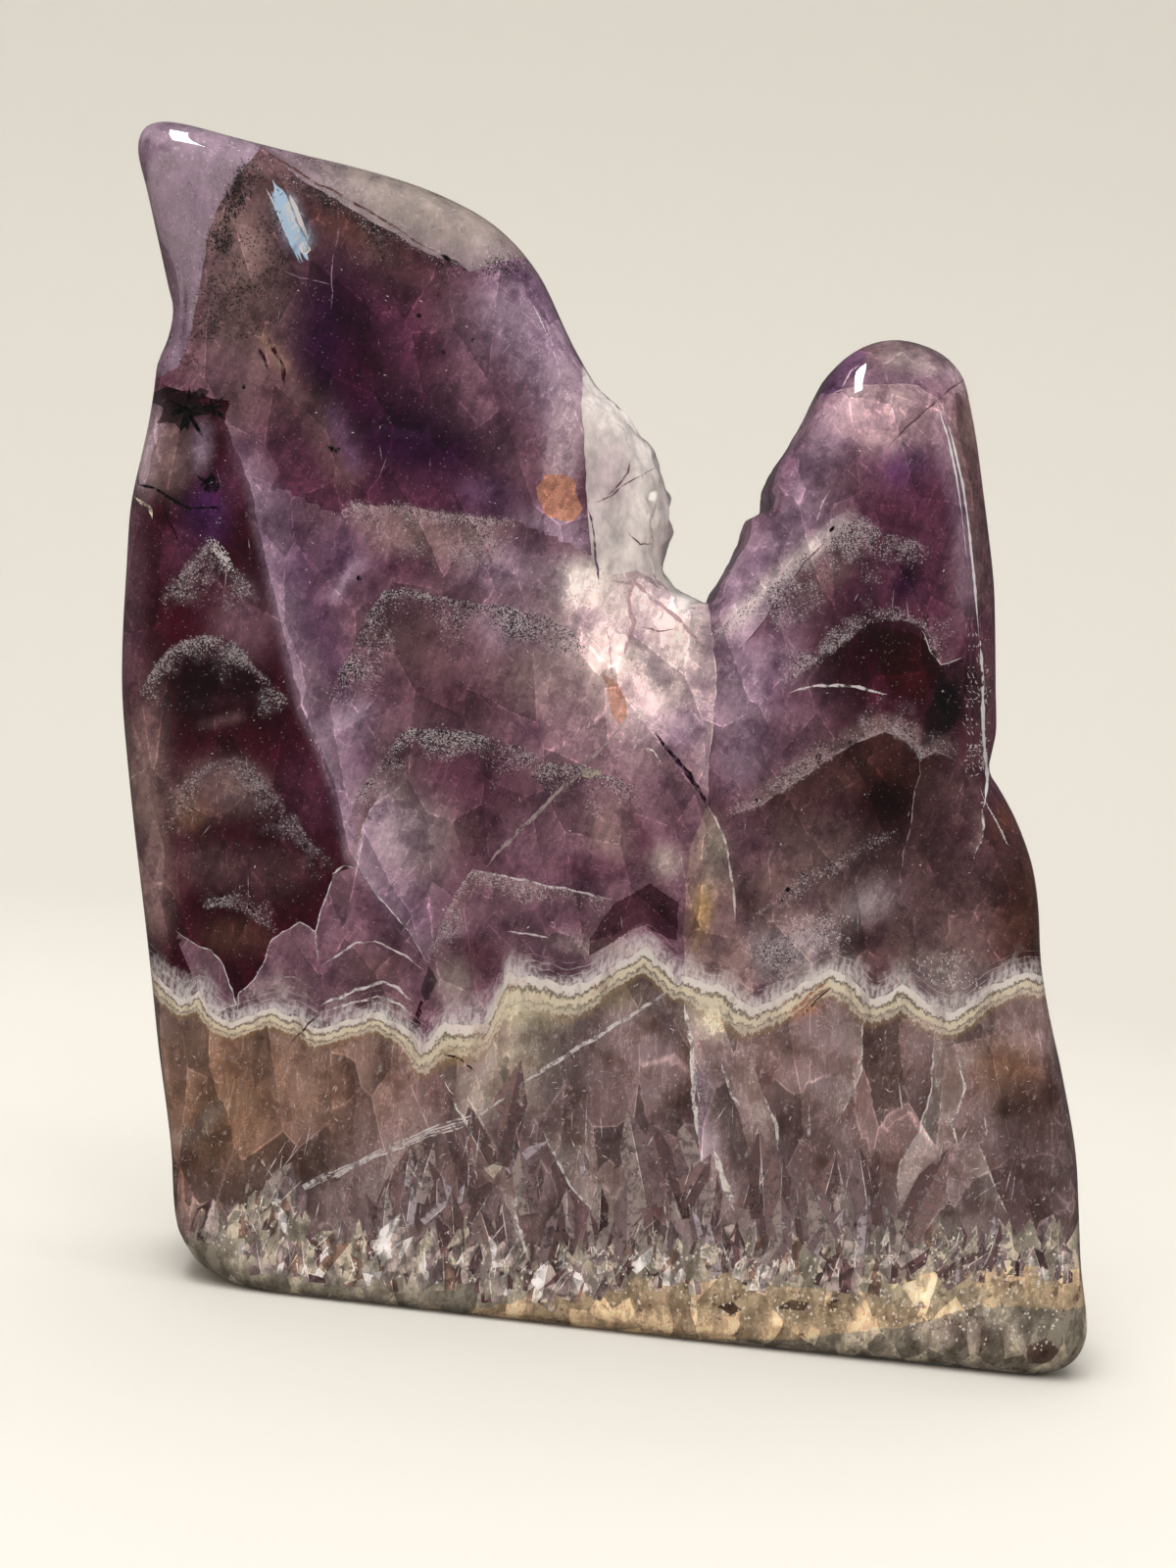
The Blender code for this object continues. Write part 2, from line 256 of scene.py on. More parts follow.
HAIR_TALL = [(-25.8, 84.3), (-25.5, 82.9), (-25.6, 81.4), (-25.7, 79.8), (-25.6, 78.2), (-25.4, 75.9)]
LEFT_CRACK = [
    (-38.8, 62.2), (-38.5, 61.3), (-37.3, 61.0), (-35.7, 60.3), (-34.5, 59.8), (-32.5, 60.1), (-32.0, 59.6),
]
PURPLE_CRACK = [
    (3.2, 46.7), (4.0, 45.8), (5.0, 44.8), (5.9, 43.9), (6.8, 43.0), (7.5, 42.1), (7.9, 41.2),
]
FAN_LEFT = [(-25.7, 5.5), (-24.4, 7.2), (-23.9, 9.5), (-23.6, 10.5)]
FAN_RIGHT = [(-23.6, 10.5), (-22.5, 9.4), (-21.7, 7.7)]

# Tones of the stone, as they look from outside, each part 0 to 255.
TONES = {
    "deep_violet": (36, 3, 36),
    "violet": (70, 36, 78),
    "grape": (88, 62, 86),
    "plum": (76, 43, 58),
    "dark_plum": (48, 18, 28),
    "black_plum": (14, 0, 4),
    "maroon": (44, 14, 20),
    "mauve": (102, 74, 85),
    "lavender": (148, 124, 142),
    "pale_lilac": (190, 164, 174),
    "rose": (174, 144, 150),
    "milky": (230, 218, 210),
    "smoky": (88, 64, 66),
    "umber": (62, 45, 46),
    "brown": (74, 48, 42),
    "rosy_grey": (122, 98, 96),
    "fawn": (118, 92, 81),
    "tawny": (128, 96, 76),
    "beige": (164, 152, 136),
    "cream": (214, 203, 176),
    "olive": (104, 94, 74),
    "gold": (140, 112, 74),
    "tan": (212, 182, 148),
    "rust": (158, 108, 88),
    "ash": (148, 133, 128),
    "dove": (116, 98, 99),
    "silver": (166, 152, 158),
    "pearl": (206, 188, 186),
    "pewter": (92, 72, 72),
    "frost": (204, 196, 194),
    # sky and glare are the colours of painted reflections.
    "sky": (158, 188, 212),
    "glare": (252, 248, 244),
    "ink": (20, 7, 11),
}

# The tone of each part of the stone, and softer clouds of other tones in it:
# (x, z, reach across, reach along, lean in degrees, tone, strength).
PARTS = {
    "peak": "plum",
    "left": "dark_plum",
    "middle": "mauve",
    "right": "plum",
    "column": "rosy_grey",
    "shard": "mauve",
    "under": "dove",
    "crust": "beige",
    "matrix": "tan",
    "lens": "beige",
    "cap": "lavender",
    "window": "milky",
}
PART_NAMES = list(PARTS)
CLOUDS = {
    "peak": [
        (-32.6, 77.6, 4.6, 11.0, 4, "rosy_grey", 0.85),
        (-26.0, 82.0, 5.0, 4.0, -20, "umber", 0.8),
        (-31.0, 85.4, 2.4, 2.6, 0, "smoky", 0.8),
        (-30.5, 74.5, 2.6, 4.0, 0, "smoky", 0.7),
        (-33.4, 70.6, 2.6, 2.2, 0, "mauve", 0.8),
        (-24.0, 82.4, 6.5, 1.4, -24, "brown", 0.75),
        (-20.0, 79.4, 5.0, 2.0, -20, "smoky", 0.6),
        (-25.4, 74.0, 3.0, 7.0, 4, "deep_violet", 1.0),
        (-22.6, 72.0, 2.0, 7.0, 6, "dark_plum", 0.75),
        (-17.4, 67.2, 8.0, 4.0, 0, "deep_violet", 1.0),
        (-24.0, 75.0, 5.0, 5.0, 0, "deep_violet", 0.5),
        (-19.0, 77.0, 2.6, 3.6, 0, "plum", 0.6),
        (-15.0, 76.5, 2.4, 3.4, 10, "mauve", 0.8),
        # The lavender and pale lilac clouds from here towards the notch are partly the stone's own colour
        # and partly painted light, from light behind the stone that shines through it.
        (-11.0, 77.0, 3.4, 5.0, 14, "lavender", 0.9),
        (-8.0, 73.4, 2.6, 6.0, 22, "lavender", 0.9),
        (-13.0, 71.6, 3.4, 3.0, 0, "mauve", 0.8),
        (-9.6, 67.0, 2.4, 3.6, 0, "mauve", 0.7),
        (-6.3, 68.4, 1.4, 5.0, 0, "pale_lilac", 0.7),
        (-6.5, 60.5, 4.0, 2.4, 0, "lavender", 0.9),
        (-11.5, 63.4, 2.4, 1.6, 0, "grape", 0.8),
    ],
    "left": [
        (-38.2, 64.4, 1.0, 3.4, 0, "pale_lilac", 0.75),
        (-36.0, 63.6, 1.3, 2.8, 0, "rosy_grey", 0.8),
        (-34.2, 64.6, 0.8, 1.8, 0, "lavender", 0.8),
        (-33.2, 59.4, 1.7, 2.6, 0, "violet", 0.95),
        (-31.4, 63.0, 1.0, 3.0, 0, "plum", 0.7),
        (-38.6, 52.0, 1.4, 9.0, 4, "mauve", 0.7),
        (-34.6, 56.4, 2.2, 2.6, 0, "plum", 0.6),
        (-29.4, 51.6, 2.4, 3.0, 10, "mauve", 0.7),
        (-30.6, 45.6, 5.0, 3.4, 0, "black_plum", 0.55),
        (-29.4, 38.6, 3.0, 2.0, 0, "rosy_grey", 0.75),
        (-32.0, 36.6, 1.6, 1.6, 0, "tawny", 0.5),
        (-35.4, 37.0, 1.7, 8.0, 5, "rosy_grey", 0.75),
        (-23.0, 38.6, 1.8, 3.4, 20, "plum", 0.6),
        (-25.0, 32.5, 2.6, 2.0, 0, "smoky", 0.5),
        (-34.4, 29.5, 1.8, 4.0, 5, "rosy_grey", 0.8),
        (-29.5, 32.5, 2.8, 1.8, 0, "smoky", 0.8),
        (-27.4, 27.2, 2.6, 1.4, 0, "brown", 0.9),
    ],
    "middle": [
        (-28.6, 62.8, 1.4, 4.0, 12, "grape", 0.6),
        (-26.0, 55.4, 1.9, 6.0, 14, "grape", 0.8),
        (-22.6, 50.0, 1.3, 4.6, 22, "grape", 0.7),
        (-22.6, 57.5, 2.2, 2.6, 0, "grape", 0.8),
        (-15.6, 59.4, 4.6, 1.6, 0, "rosy_grey", 0.75),
        (-9.4, 58.0, 3.6, 2.0, 0, "lavender", 0.6),
        (-17.2, 57.0, 2.4, 1.2, 0, "plum", 0.7),
        (-3.0, 57.2, 2.8, 2.0, 0, "milky", 0.95),
        (-15.6, 51.6, 3.4, 3.0, 0, "smoky", 0.75),
        (-12.0, 47.4, 4.6, 2.8, 0, "dark_plum", 0.6),
        (-8.0, 41.0, 5.0, 2.6, -20, "dark_plum", 0.5),
        (-8.6, 53.6, 2.6, 1.8, 0, "lavender", 0.7),
        (-4.6, 49.6, 4.4, 2.4, 0, "rosy_grey", 0.85),
        (-3.0, 52.4, 2.0, 1.2, -20, "lavender", 0.8),
        # The milky, rose and pearl clouds under the notch are partly the stone's own colour and partly a
        # painted glow, from light behind the stone that shines through it.
        (0.4, 55.8, 2.2, 2.2, 0, "milky", 1.0),
        (3.6, 54.8, 2.4, 2.2, 0, "milky", 0.95),
        (1.0, 51.4, 7.0, 6.4, 0, "rose", 1.0),
        (0.6, 54.2, 5.0, 4.0, 0, "pearl", 0.85),
        (3.2, 51.6, 4.0, 4.6, 0, "pearl", 0.8),
        (2.4, 47.8, 1.4, 1.6, 0, "pale_lilac", 0.8),
        (5.4, 47.4, 1.8, 1.8, 0, "lavender", 0.8),
        (-15.0, 38.6, 3.4, 4.4, 20, "rosy_grey", 0.85),
        (-15.4, 37.6, 3.0, 4.4, 20, "silver", 0.5),
        (-20.4, 44.6, 1.8, 2.0, 0, "lavender", 0.7),
        (-19.4, 41.6, 1.6, 1.6, 0, "grape", 0.6),
        (-12.0, 41.6, 5.0, 3.0, 0, "plum", 0.8),
        (-9.6, 37.0, 2.0, 2.6, 0, "maroon", 0.5),
        (-3.5, 38.4, 3.4, 2.6, -40, "mauve", 0.6),
        (0.6, 38.8, 2.4, 3.0, 0, "rosy_grey", 0.6),
        (-0.6, 35.6, 3.4, 1.3, 0, "plum", 0.7),
        (3.4, 37.6, 0.9, 2.6, 20, "plum", 0.8),
        (5.2, 36.7, 1.3, 1.2, 0, "ash", 0.8),
        (-5.6, 32.2, 3.0, 1.2, 0, "mauve", 0.8),
        (-8.6, 27.6, 2.8, 2.2, 0, "dark_plum", 0.7),
        (-10.2, 25.6, 1.4, 1.8, 0, "ash", 0.6),
        (0.5, 29.6, 3.4, 0.9, 0, "ash", 0.6),
    ],
    "right": [
        (24.0, 35.0, 24.0, 9.0, 0, "umber", 0.95),
        (22.0, 49.0, 8.0, 7.0, 0, "dark_plum", 0.85),
        (16.0, 38.0, 5.0, 4.0, 20, "rosy_grey", 0.55),
        (15.0, 31.4, 3.4, 2.0, 20, "silver", 0.75),
        (21.4, 35.6, 3.0, 1.4, 30, "silver", 0.45),
        (27.0, 34.0, 4.0, 3.0, 0, "rosy_grey", 0.5),
        (10.6, 51.0, 5.0, 8.0, 0, "mauve", 1.0),
        (10.0, 52.0, 3.6, 6.0, 0, "lavender", 0.8),
        (13.4, 67.5, 2.2, 6.4, -14, "lavender", 0.7),
        (9.6, 60.4, 1.6, 4.6, -30, "lavender", 0.7),
        (20.4, 77.6, 3.4, 1.6, 0, "ash", 0.7),
        (23.6, 76.4, 1.4, 1.4, 0, "pale_lilac", 0.7),
        # The rose cloud under the small peak's top is partly the stone's colour and partly a painted
        # reflection of the light in the facet there.
        (18.4, 73.0, 4.4, 2.8, 0, "rose", 1.0),
        (24.6, 73.0, 1.6, 4.0, 0, "rosy_grey", 0.8),
        (20.2, 69.2, 2.6, 2.0, 20, "grape", 0.8),
        (19.6, 68.6, 1.0, 0.9, 0, "violet", 0.7),
        (15.5, 67.5, 2.6, 2.0, 0, "mauve", 0.6),
        (14.4, 60.0, 3.4, 1.4, 40, "rosy_grey", 0.7),
        (21.0, 67.0, 3.4, 2.4, 0, "plum", 0.6),
        (25.8, 61.6, 1.6, 5.0, 4, "mauve", 0.8),
        (21.0, 60.2, 0.9, 1.8, -14, "deep_violet", 0.95),
        (15.0, 53.4, 3.0, 1.2, 30, "mauve", 0.6),
        (19.0, 54.6, 5.0, 2.8, 10, "dark_plum", 1.0),
        (25.4, 51.0, 1.8, 3.6, 0, "black_plum", 0.9),
        (13.2, 48.0, 4.0, 2.0, 20, "mauve", 0.8),
        (10.0, 46.0, 2.0, 3.0, 0, "lavender", 0.5),
        (13.4, 50.6, 1.6, 0.9, 0, "plum", 0.6),
        (11.5, 40.0, 2.4, 3.0, 0, "mauve", 0.7),
        (18.6, 44.8, 2.4, 1.4, 20, "smoky", 0.7),
        (21.6, 44.0, 3.0, 3.4, 0, "maroon", 0.95),
        (27.0, 44.6, 2.2, 3.0, 0, "smoky", 0.8),
        (26.4, 37.4, 4.4, 3.4, 0, "smoky", 0.8),
        (28.2, 51.6, 1.0, 5.0, 4, "smoky", 0.7),
        (21.0, 41.0, 4.0, 4.0, 0, "black_plum", 0.5),
        (30.6, 42.6, 1.0, 1.8, 0, "brown", 0.9),
        (33.4, 35.6, 2.4, 6.0, 8, "brown", 0.95),
        (15.6, 33.4, 3.4, 1.6, 20, "rosy_grey", 0.7),
        (16.0, 30.0, 4.0, 1.6, 0, "ash", 0.75),
        (27.6, 30.2, 3.2, 1.8, 0, "ash", 0.9),
        (22.6, 30.4, 1.4, 1.6, 0, "smoky", 0.8),
    ],
    "column": [
        (8.4, 33.4, 0.9, 2.6, 0, "gold", 0.8),
        (8.9, 37.6, 1.0, 2.2, 0, "beige", 0.8),
    ],
    "shard": [
        (-17.0, 29.6, 2.0, 2.4, 0, "mauve", 0.6),
        (-16.0, 26.0, 2.4, 1.4, 0, "smoky", 0.8),
        (-15.6, 23.4, 3.0, 1.0, 0, "smoky", 0.9),
        (-24.0, 23.4, 2.0, 1.4, 0, "ash", 0.5),
    ],
    "under": [
        (-26.6, 14.5, 7.0, 8.0, 0, "tawny", 0.9),
        (-29.6, 17.6, 2.0, 3.0, 0, "fawn", 0.8),
        (-17.6, 17.0, 6.0, 5.0, 0, "fawn", 0.95),
        (-28.9, 8.6, 1.6, 2.6, 0, "brown", 0.6),
        (-20.0, 11.0, 3.0, 2.2, 0, "brown", 0.6),
        (-13.4, 14.4, 1.6, 3.4, 0, "rosy_grey", 0.7),
        (-10.6, 17.6, 1.6, 1.8, 0, "smoky", 0.8),
        (-9.8, 20.4, 1.6, 1.0, 0, "gold", 0.8),
        (-9.2, 22.4, 1.9, 0.8, 0, "rust", 0.9),
        (16.6, 26.6, 1.6, 0.7, 10, "rust", 0.9),
        (34.0, 23.8, 2.2, 0.8, -10, "rust", 0.6),
        (-4.2, 24.2, 3.0, 1.6, 0, "cream", 0.9),
        (-4.6, 20.6, 3.0, 2.0, 0, "beige", 0.7),
        (2.0, 26.0, 2.4, 1.2, 0, "olive", 0.7),
        (-6.0, 17.4, 3.4, 1.6, 0, "beige", 0.5),
        (-7.6, 10.5, 3.6, 3.6, 0, "pewter", 0.9),
        (2.6, 16.0, 4.4, 6.0, 0, "pewter", 0.7),
        (0.8, 8.0, 1.6, 2.6, 0, "smoky", 0.9),
        (7.0, 12.0, 1.8, 4.0, 0, "smoky", 0.8),
        (9.8, 25.2, 1.6, 1.6, 0, "cream", 0.9),
        (9.0, 22.6, 0.8, 1.6, 0, "gold", 0.7),
        (15.6, 21.6, 2.4, 4.0, 0, "rosy_grey", 0.8),
        (18.5, 15.6, 2.4, 4.4, 0, "pewter", 0.8),
        (23.8, 21.0, 2.4, 5.4, 0, "rosy_grey", 0.9),
        (28.6, 15.0, 2.6, 5.0, 0, "dove", 0.9),
        (20.0, 10.6, 5.0, 2.4, 0, "ash", 0.7),
        (33.0, 23.6, 3.0, 2.6, 0, "tawny", 0.7),
        (35.6, 21.0, 3.0, 3.4, 0, "brown", 0.7),
        (35.6, 14.0, 2.6, 4.0, 0, "smoky", 0.7),
    ],
    "crust": [
        (-24.0, 4.4, 5.0, 2.6, 0, "beige", 0.7),
        (-18.6, 3.0, 3.4, 1.6, 0, "beige", 0.6),
        (0.0, 4.4, 3.4, 1.2, 0, "smoky", 0.7),
    ],
    "matrix": [
        (-22.0, 0.5, 9.0, 1.4, 0, "cream", 0.6),
        (8.0, 3.0, 2.4, 1.2, 0, "brown", 0.4),
        (28.0, 6.0, 6.0, 1.2, 0, "cream", 0.6),
    ],
    "lens": [
        (38.4, 2.4, 1.4, 0.8, 0, "brown", 0.6),
        (41.0, 4.4, 1.2, 1.6, 0, "beige", 0.8),
        (32.0, 3.4, 4.0, 1.6, 0, "pewter", 0.6),
    ],
    "cap": [
        (-39.6, 84.0, 3.0, 9.0, 0, "lavender", 0.8),
        (-38.0, 75.0, 1.6, 5.0, 0, "grape", 0.4),
        (-19.0, 85.0, 10.0, 3.4, -15, "beige", 0.95),
        (-10.0, 81.6, 2.0, 2.4, 0, "ash", 0.8),
    ],
    "window": [
        (-2.6, 66.0, 1.8, 3.0, 0, "pale_lilac", 0.5),
    ],
}

# Lines between flat planes inside the quartz, each with a tone laid on one side of it, 1 to the
# left of its way and -1 to the right, that fades away from the line: partly the planes' own colour
# and partly painted light and shade, where one plane faces the light and the next turns from it:
# (line, side, reach, tone, strength).
NODE_LEFT = [(-17.1, 40.0), (-17.9, 38.3), (-18.4, 37.1), (-18.6, 35.1), (-18.5, 33.5)]
NODE_RIGHT = [(-18.5, 33.5), (-17.2, 32.1), (-15.4, 30.5), (-13.6, 28.6), (-12.3, 26.9)]
NODE_UP = [(-22.9, 42.6), (-21.4, 43.6), (-19.6, 45.0), (-18.0, 45.9)]
LEFT_STRIP = [(-37.2, 43.7), (-35.9, 40.6), (-34.8, 36.8), (-33.4, 33.0), (-33.2, 29.1)]
LILAC_EDGE = [(-37.5, 66.0), (-37.7, 64.0), (-37.8, 62.0), (-38.2, 60.6)]
ARC = [(13.9, 74.0), (15.0, 74.7), (17.2, 75.3), (19.1, 75.5), (20.6, 75.5), (22.2, 74.5)]
EDGE_STRIP = [(21.7, 74.5), (22.8, 73.6), (24.1, 69.6), (25.1, 66.7), (26.1, 61.8), (27.0, 57.5)]
DIAGONAL = [(24.3, 77.3), (22.9, 75.6), (21.7, 74.3), (19.8, 72.2), (18.5, 70.5)]
PALE_BEAM = [(7.0, 56.0), (9.9, 59.0), (13.0, 62.4), (15.0, 64.6), (16.8, 65.8)]
BEAM_EDGE = [(8.7, 53.5), (9.6, 54.7), (10.9, 56.8), (13.1, 60.9), (15.1, 63.4)]
SHELL = [(22.8, 56.8), (23.6, 55.4), (24.6, 54.3), (26.2, 55.1)]
SEAM = [(23.8, 47.0), (24.0, 45.8), (23.7, 43.9), (23.7, 42.6), (23.5, 40.3), (23.2, 37.4)]
HOOK = [(29.0, 43.6), (29.3, 42.2), (29.2, 41.0), (28.8, 39.9)]
WEDGE_EDGE = [(4.2, 35.0), (2.9, 34.3), (1.7, 33.2), (0.7, 31.5), (0.0, 30.1), (0.1, 29.1)]
SOFT_EDGE = [(-18.4, 20.3), (-17.1, 17.7), (-16.5, 15.6), (-16.5, 12.3), (-17.4, 11.5)]
CHIP_EDGE = [(-10.0, 18.3), (-8.7, 15.9), (-7.5, 14.6), (-6.6, 10.7)]
BRIGHT_EDGE = [(-4.6, 14.9), (-3.6, 12.5), (-3.1, 10.8), (-3.4, 8.6), (-2.5, 6.2), (-1.5, 4.3)]
LONG_EDGE = [(-2.1, 15.2), (-0.6, 12.9), (0.6, 11.0), (2.8, 9.3), (4.2, 6.9)]
LEFT_FACET = [(-11.9, 13.1), (-12.7, 11.5), (-13.9, 8.9), (-14.6, 6.6)]
COLUMN_FOOT = [(7.8, 26.3), (8.8, 22.9), (9.3, 19.2), (10.2, 15.3), (11.0, 11.4)]
CURVED_EDGE = [(13.4, 22.6), (14.8, 19.6), (16.0, 17.4), (16.3, 15.6)]
THIN_EDGE = [(21.8, 27.0), (21.8, 24.7), (22.1, 22.3), (21.5, 20.4), (20.4, 17.8)]
TALL_EDGE = [(27.3, 26.4), (27.6, 21.3), (26.9, 18.1), (25.8, 15.6), (25.9, 13.5), (26.6, 11.0)]
TALL_MIDDLE = [(29.4, 24.2), (30.2, 21.9), (29.5, 19.2), (30.1, 17.4)]
TALL_RIGHT = [(31.6, 18.1), (33.3, 14.8), (34.6, 12.6)]
STEP_EDGE = [(19.2, 10.7), (20.3, 13.1), (20.7, 14.5)]
LEFT_PLANE = [(2.2, 9.7), (4.1, 7.0), (8.0, 5.1)]
FACETS = [
    (PALE_BOUNDARY, 1, 2.6, "lavender", 0.6),
    (NODE_LEFT, 1, 5.0, "lavender", 0.55),
    (NODE_LEFT, -1, 1.4, "smoky", 0.6),
    (NODE_RIGHT, 1, 4.4, "lavender", 0.5),
    (NODE_RIGHT, -1, 2.6, "dark_plum", 0.5),
    (NODE_UP, 1, 1.6, "lavender", 0.6),
    (LEFT_STRIP, -1, 2.6, "rosy_grey", 0.7),
    (LILAC_EDGE, -1, 1.2, "pale_lilac", 0.5),
    (LILAC_EDGE, 1, 1.6, "rosy_grey", 0.5),
    (TOP_ARC, -1, 4.0, "rosy_grey", 0.5),
    # The rose under the arc is partly a painted reflection, with the rose cloud there.
    (ARC, -1, 4.0, "rose", 0.7),
    (ARC, 1, 2.4, "grape", 0.55),
    (EDGE_STRIP, 1, 2.4, "rosy_grey", 0.6),
    (EDGE_STRIP, -1, 1.6, "lavender", 0.5),
    (DIAGONAL, -1, 1.6, "mauve", 0.4),
    (PALE_BEAM, -1, 1.8, "lavender", 0.6),
    (BEAM_EDGE, 1, 2.4, "lavender", 0.6),
    (BEAM_EDGE, -1, 3.4, "plum", 0.7),
    (SHELL, 1, 1.6, "mauve", 0.5),
    (RIGHT_PHANTOM_LOW, 1, 1.7, "rosy_grey", 0.75),
    (RIGHT_PHANTOM_LOW, -1, 4.0, "brown", 0.6),
    (SEAM, 1, 2.4, "smoky", 0.5),
    (HOOK, -1, 0.9, "rosy_grey", 0.8),
    (MIDDLE_PHANTOM_LOW, -1, 1.6, "rosy_grey", 0.5),
    (MIDDLE_PHANTOM_LOW, 1, 2.0, "plum", 0.35),
    (WEDGE_EDGE, -1, 1.4, "mauve", 0.4),
    (BETWEEN_PEAKS, -1, 1.2, "pale_lilac", 0.5),
    (COLUMN_RIGHT, 1, 0.8, "rosy_grey", 0.6),
    (SOFT_EDGE, 1, 2.6, "rosy_grey", 0.5),
    (SOFT_EDGE, -1, 1.0, "brown", 0.5),
    (CHIP_EDGE, 1, 1.8, "ash", 0.6),
    (CHIP_EDGE, -1, 2.0, "smoky", 0.6),
    (BRIGHT_EDGE, -1, 1.4, "ash", 0.5),
    (BRIGHT_EDGE, 1, 1.4, "smoky", 0.7),
    (LONG_EDGE, 1, 4.0, "ash", 0.6),
    (LONG_EDGE, -1, 2.0, "smoky", 0.6),
    (LEFT_FACET, 1, 3.0, "smoky", 0.7),
    (LEFT_FACET, -1, 1.6, "ash", 0.4),
    (COLUMN_FOOT, 1, 1.8, "pale_lilac", 0.65),
    (COLUMN_FOOT, -1, 3.0, "smoky", 0.6),
    (CURVED_EDGE, -1, 2.0, "ash", 0.5),
    (CURVED_EDGE, 1, 1.6, "smoky", 0.5),
    (THIN_EDGE, 1, 3.0, "brown", 0.5),
    (THIN_EDGE, -1, 1.6, "ash", 0.4),
    (TALL_EDGE, 1, 3.4, "ash", 0.7),
    (TALL_EDGE, -1, 2.6, "brown", 0.5),
    (TALL_MIDDLE, 1, 1.6, "smoky", 0.5),
    (TALL_RIGHT, 1, 1.6, "brown", 0.5),
    (TALL_RIGHT, -1, 2.0, "ash", 0.5),
    (STEP_EDGE, -1, 2.4, "ash", 0.6),
    (STEP_EDGE, 1, 2.0, "smoky", 0.7),
    (LEFT_PLANE, 1, 2.4, "beige", 0.6),
]

# Flat planes with an edge all round: (outline, tone, strength).
TINTS = [
    (
        [(4.2, 35.0), (1.7, 33.2), (0.7, 31.5), (0.0, 30.1), (0.2, 28.9), (3.3, 31.4), (4.2, 31.7),
         (5.9, 30.9), (6.7, 30.8), (6.5, 33.8)],
        "dark_plum", 0.8,
    ),
    (
        [(13.4, 74.3), (13.5, 75.8), (14.5, 77.3), (15.7, 78.4), (17.0, 78.8), (16.3, 77.1),
         (16.0, 76.1), (15.0, 75.1), (14.7, 74.2)],
        "grape", 0.9,
    ),
    (
        [(24.6, 54.3), (26.2, 55.0), (27.1, 53.8), (26.5, 51.2), (26.0, 49.5), (24.1, 47.8),
         (23.8, 48.0), (23.7, 49.9), (24.4, 52.0)],
        "black_plum", 0.5,
    ),
    (
        [(19.8, 56.7), (22.3, 56.5), (24.1, 55.3), (24.5, 54.1), (23.7, 51.5), (21.2, 51.6),
         (19.6, 54.4)],
        "maroon", 0.8,
    ),
    ([(-12.2, 26.7), (-12.5, 24.6), (-12.2, 23.9), (-11.8, 24.1), (-11.4, 25.6)], "black_plum", 0.7),
    ([(-11.5, 80.7), (-9.7, 80.6), (-8.2, 78.1), (-8.9, 77.0), (-10.7, 79.1)], "grape", 0.6),
    ([(-38.7, 65.7), (-37.6, 65.6), (-38.0, 62.9), (-39.2, 61.8)], "pale_lilac", 0.5),
    ([(4.7, 40.8), (5.9, 41.1), (6.7, 39.7), (5.6, 38.6), (4.7, 39.2)], "maroon", 0.2),
    ([(6.7, 33.6), (7.8, 33.3), (8.3, 32.0), (7.9, 30.4), (7.1, 30.5), (6.7, 32.2)], "brown", 0.3),
    ([(-7.5, 14.5), (-5.4, 13.1), (-4.7, 11.9), (-5.4, 10.8), (-6.6, 12.2)], "beige", 0.7),
    ([(-11.7, 12.9), (-11.0, 12.9), (-10.0, 8.7), (-11.1, 10.4)], "ash", 0.9),
    ([(9.0, 20.9), (10.2, 20.9), (10.7, 16.5), (10.3, 15.7), (9.6, 18.2)], "lavender", 0.7),
    ([(17.7, 13.1), (19.1, 14.0), (19.9, 12.3), (19.0, 10.6), (17.7, 10.7)], "smoky", 0.5),
    ([(37.1, 2.7), (38.6, 3.5), (39.7, 2.6), (39.3, 1.5), (37.5, 1.2)], "brown", 0.7),
    ([(13.0, 3.0), (14.0, 3.6), (15.0, 3.0), (14.1, 2.5)], "brown", 0.9),
    ([(17.6, 3.5), (18.7, 4.3), (20.0, 4.2), (19.8, 3.5)], "brown", 0.8),
    ([(25.0, 7.4), (25.2, 9.3), (25.9, 10.2), (27.1, 9.5), (28.4, 8.2)], "frost", 0.6),
    ([(36.4, 24.7), (38.2, 23.9), (39.0, 20.2), (37.8, 21.4), (36.9, 23.0)], "dove", 0.6),
    (
        [(-8.1, 64.4), (-7.3, 65.6), (-6.0, 65.7), (-5.1, 65.3), (-5.0, 64.4), (-4.4, 63.2),
         (-5.0, 62.2), (-6.0, 62.1), (-7.2, 62.5), (-7.7, 63.3)],
        "rust", 0.9,
    ),
    (
        [(-1.4, 50.6), (-0.4, 50.4), (0.6, 49.2), (0.9, 47.6), (0.4, 46.9), (-0.4, 47.8), (-0.7, 49.2)],
        "rust", 0.75,
    ),
    (
        [(-38.6, 68.3), (-37.2, 69.0), (-35.5, 68.5), (-34.8, 69.2), (-34.0, 69.0), (-34.3, 68.4),
         (-35.1, 68.1), (-34.2, 68.1), (-33.2, 67.6), (-34.1, 67.1), (-35.1, 66.8), (-35.7, 65.8),
         (-36.6, 66.2), (-37.6, 66.1), (-37.3, 67.2), (-38.2, 67.8)],
        "black_plum", 0.8,
    ),
]
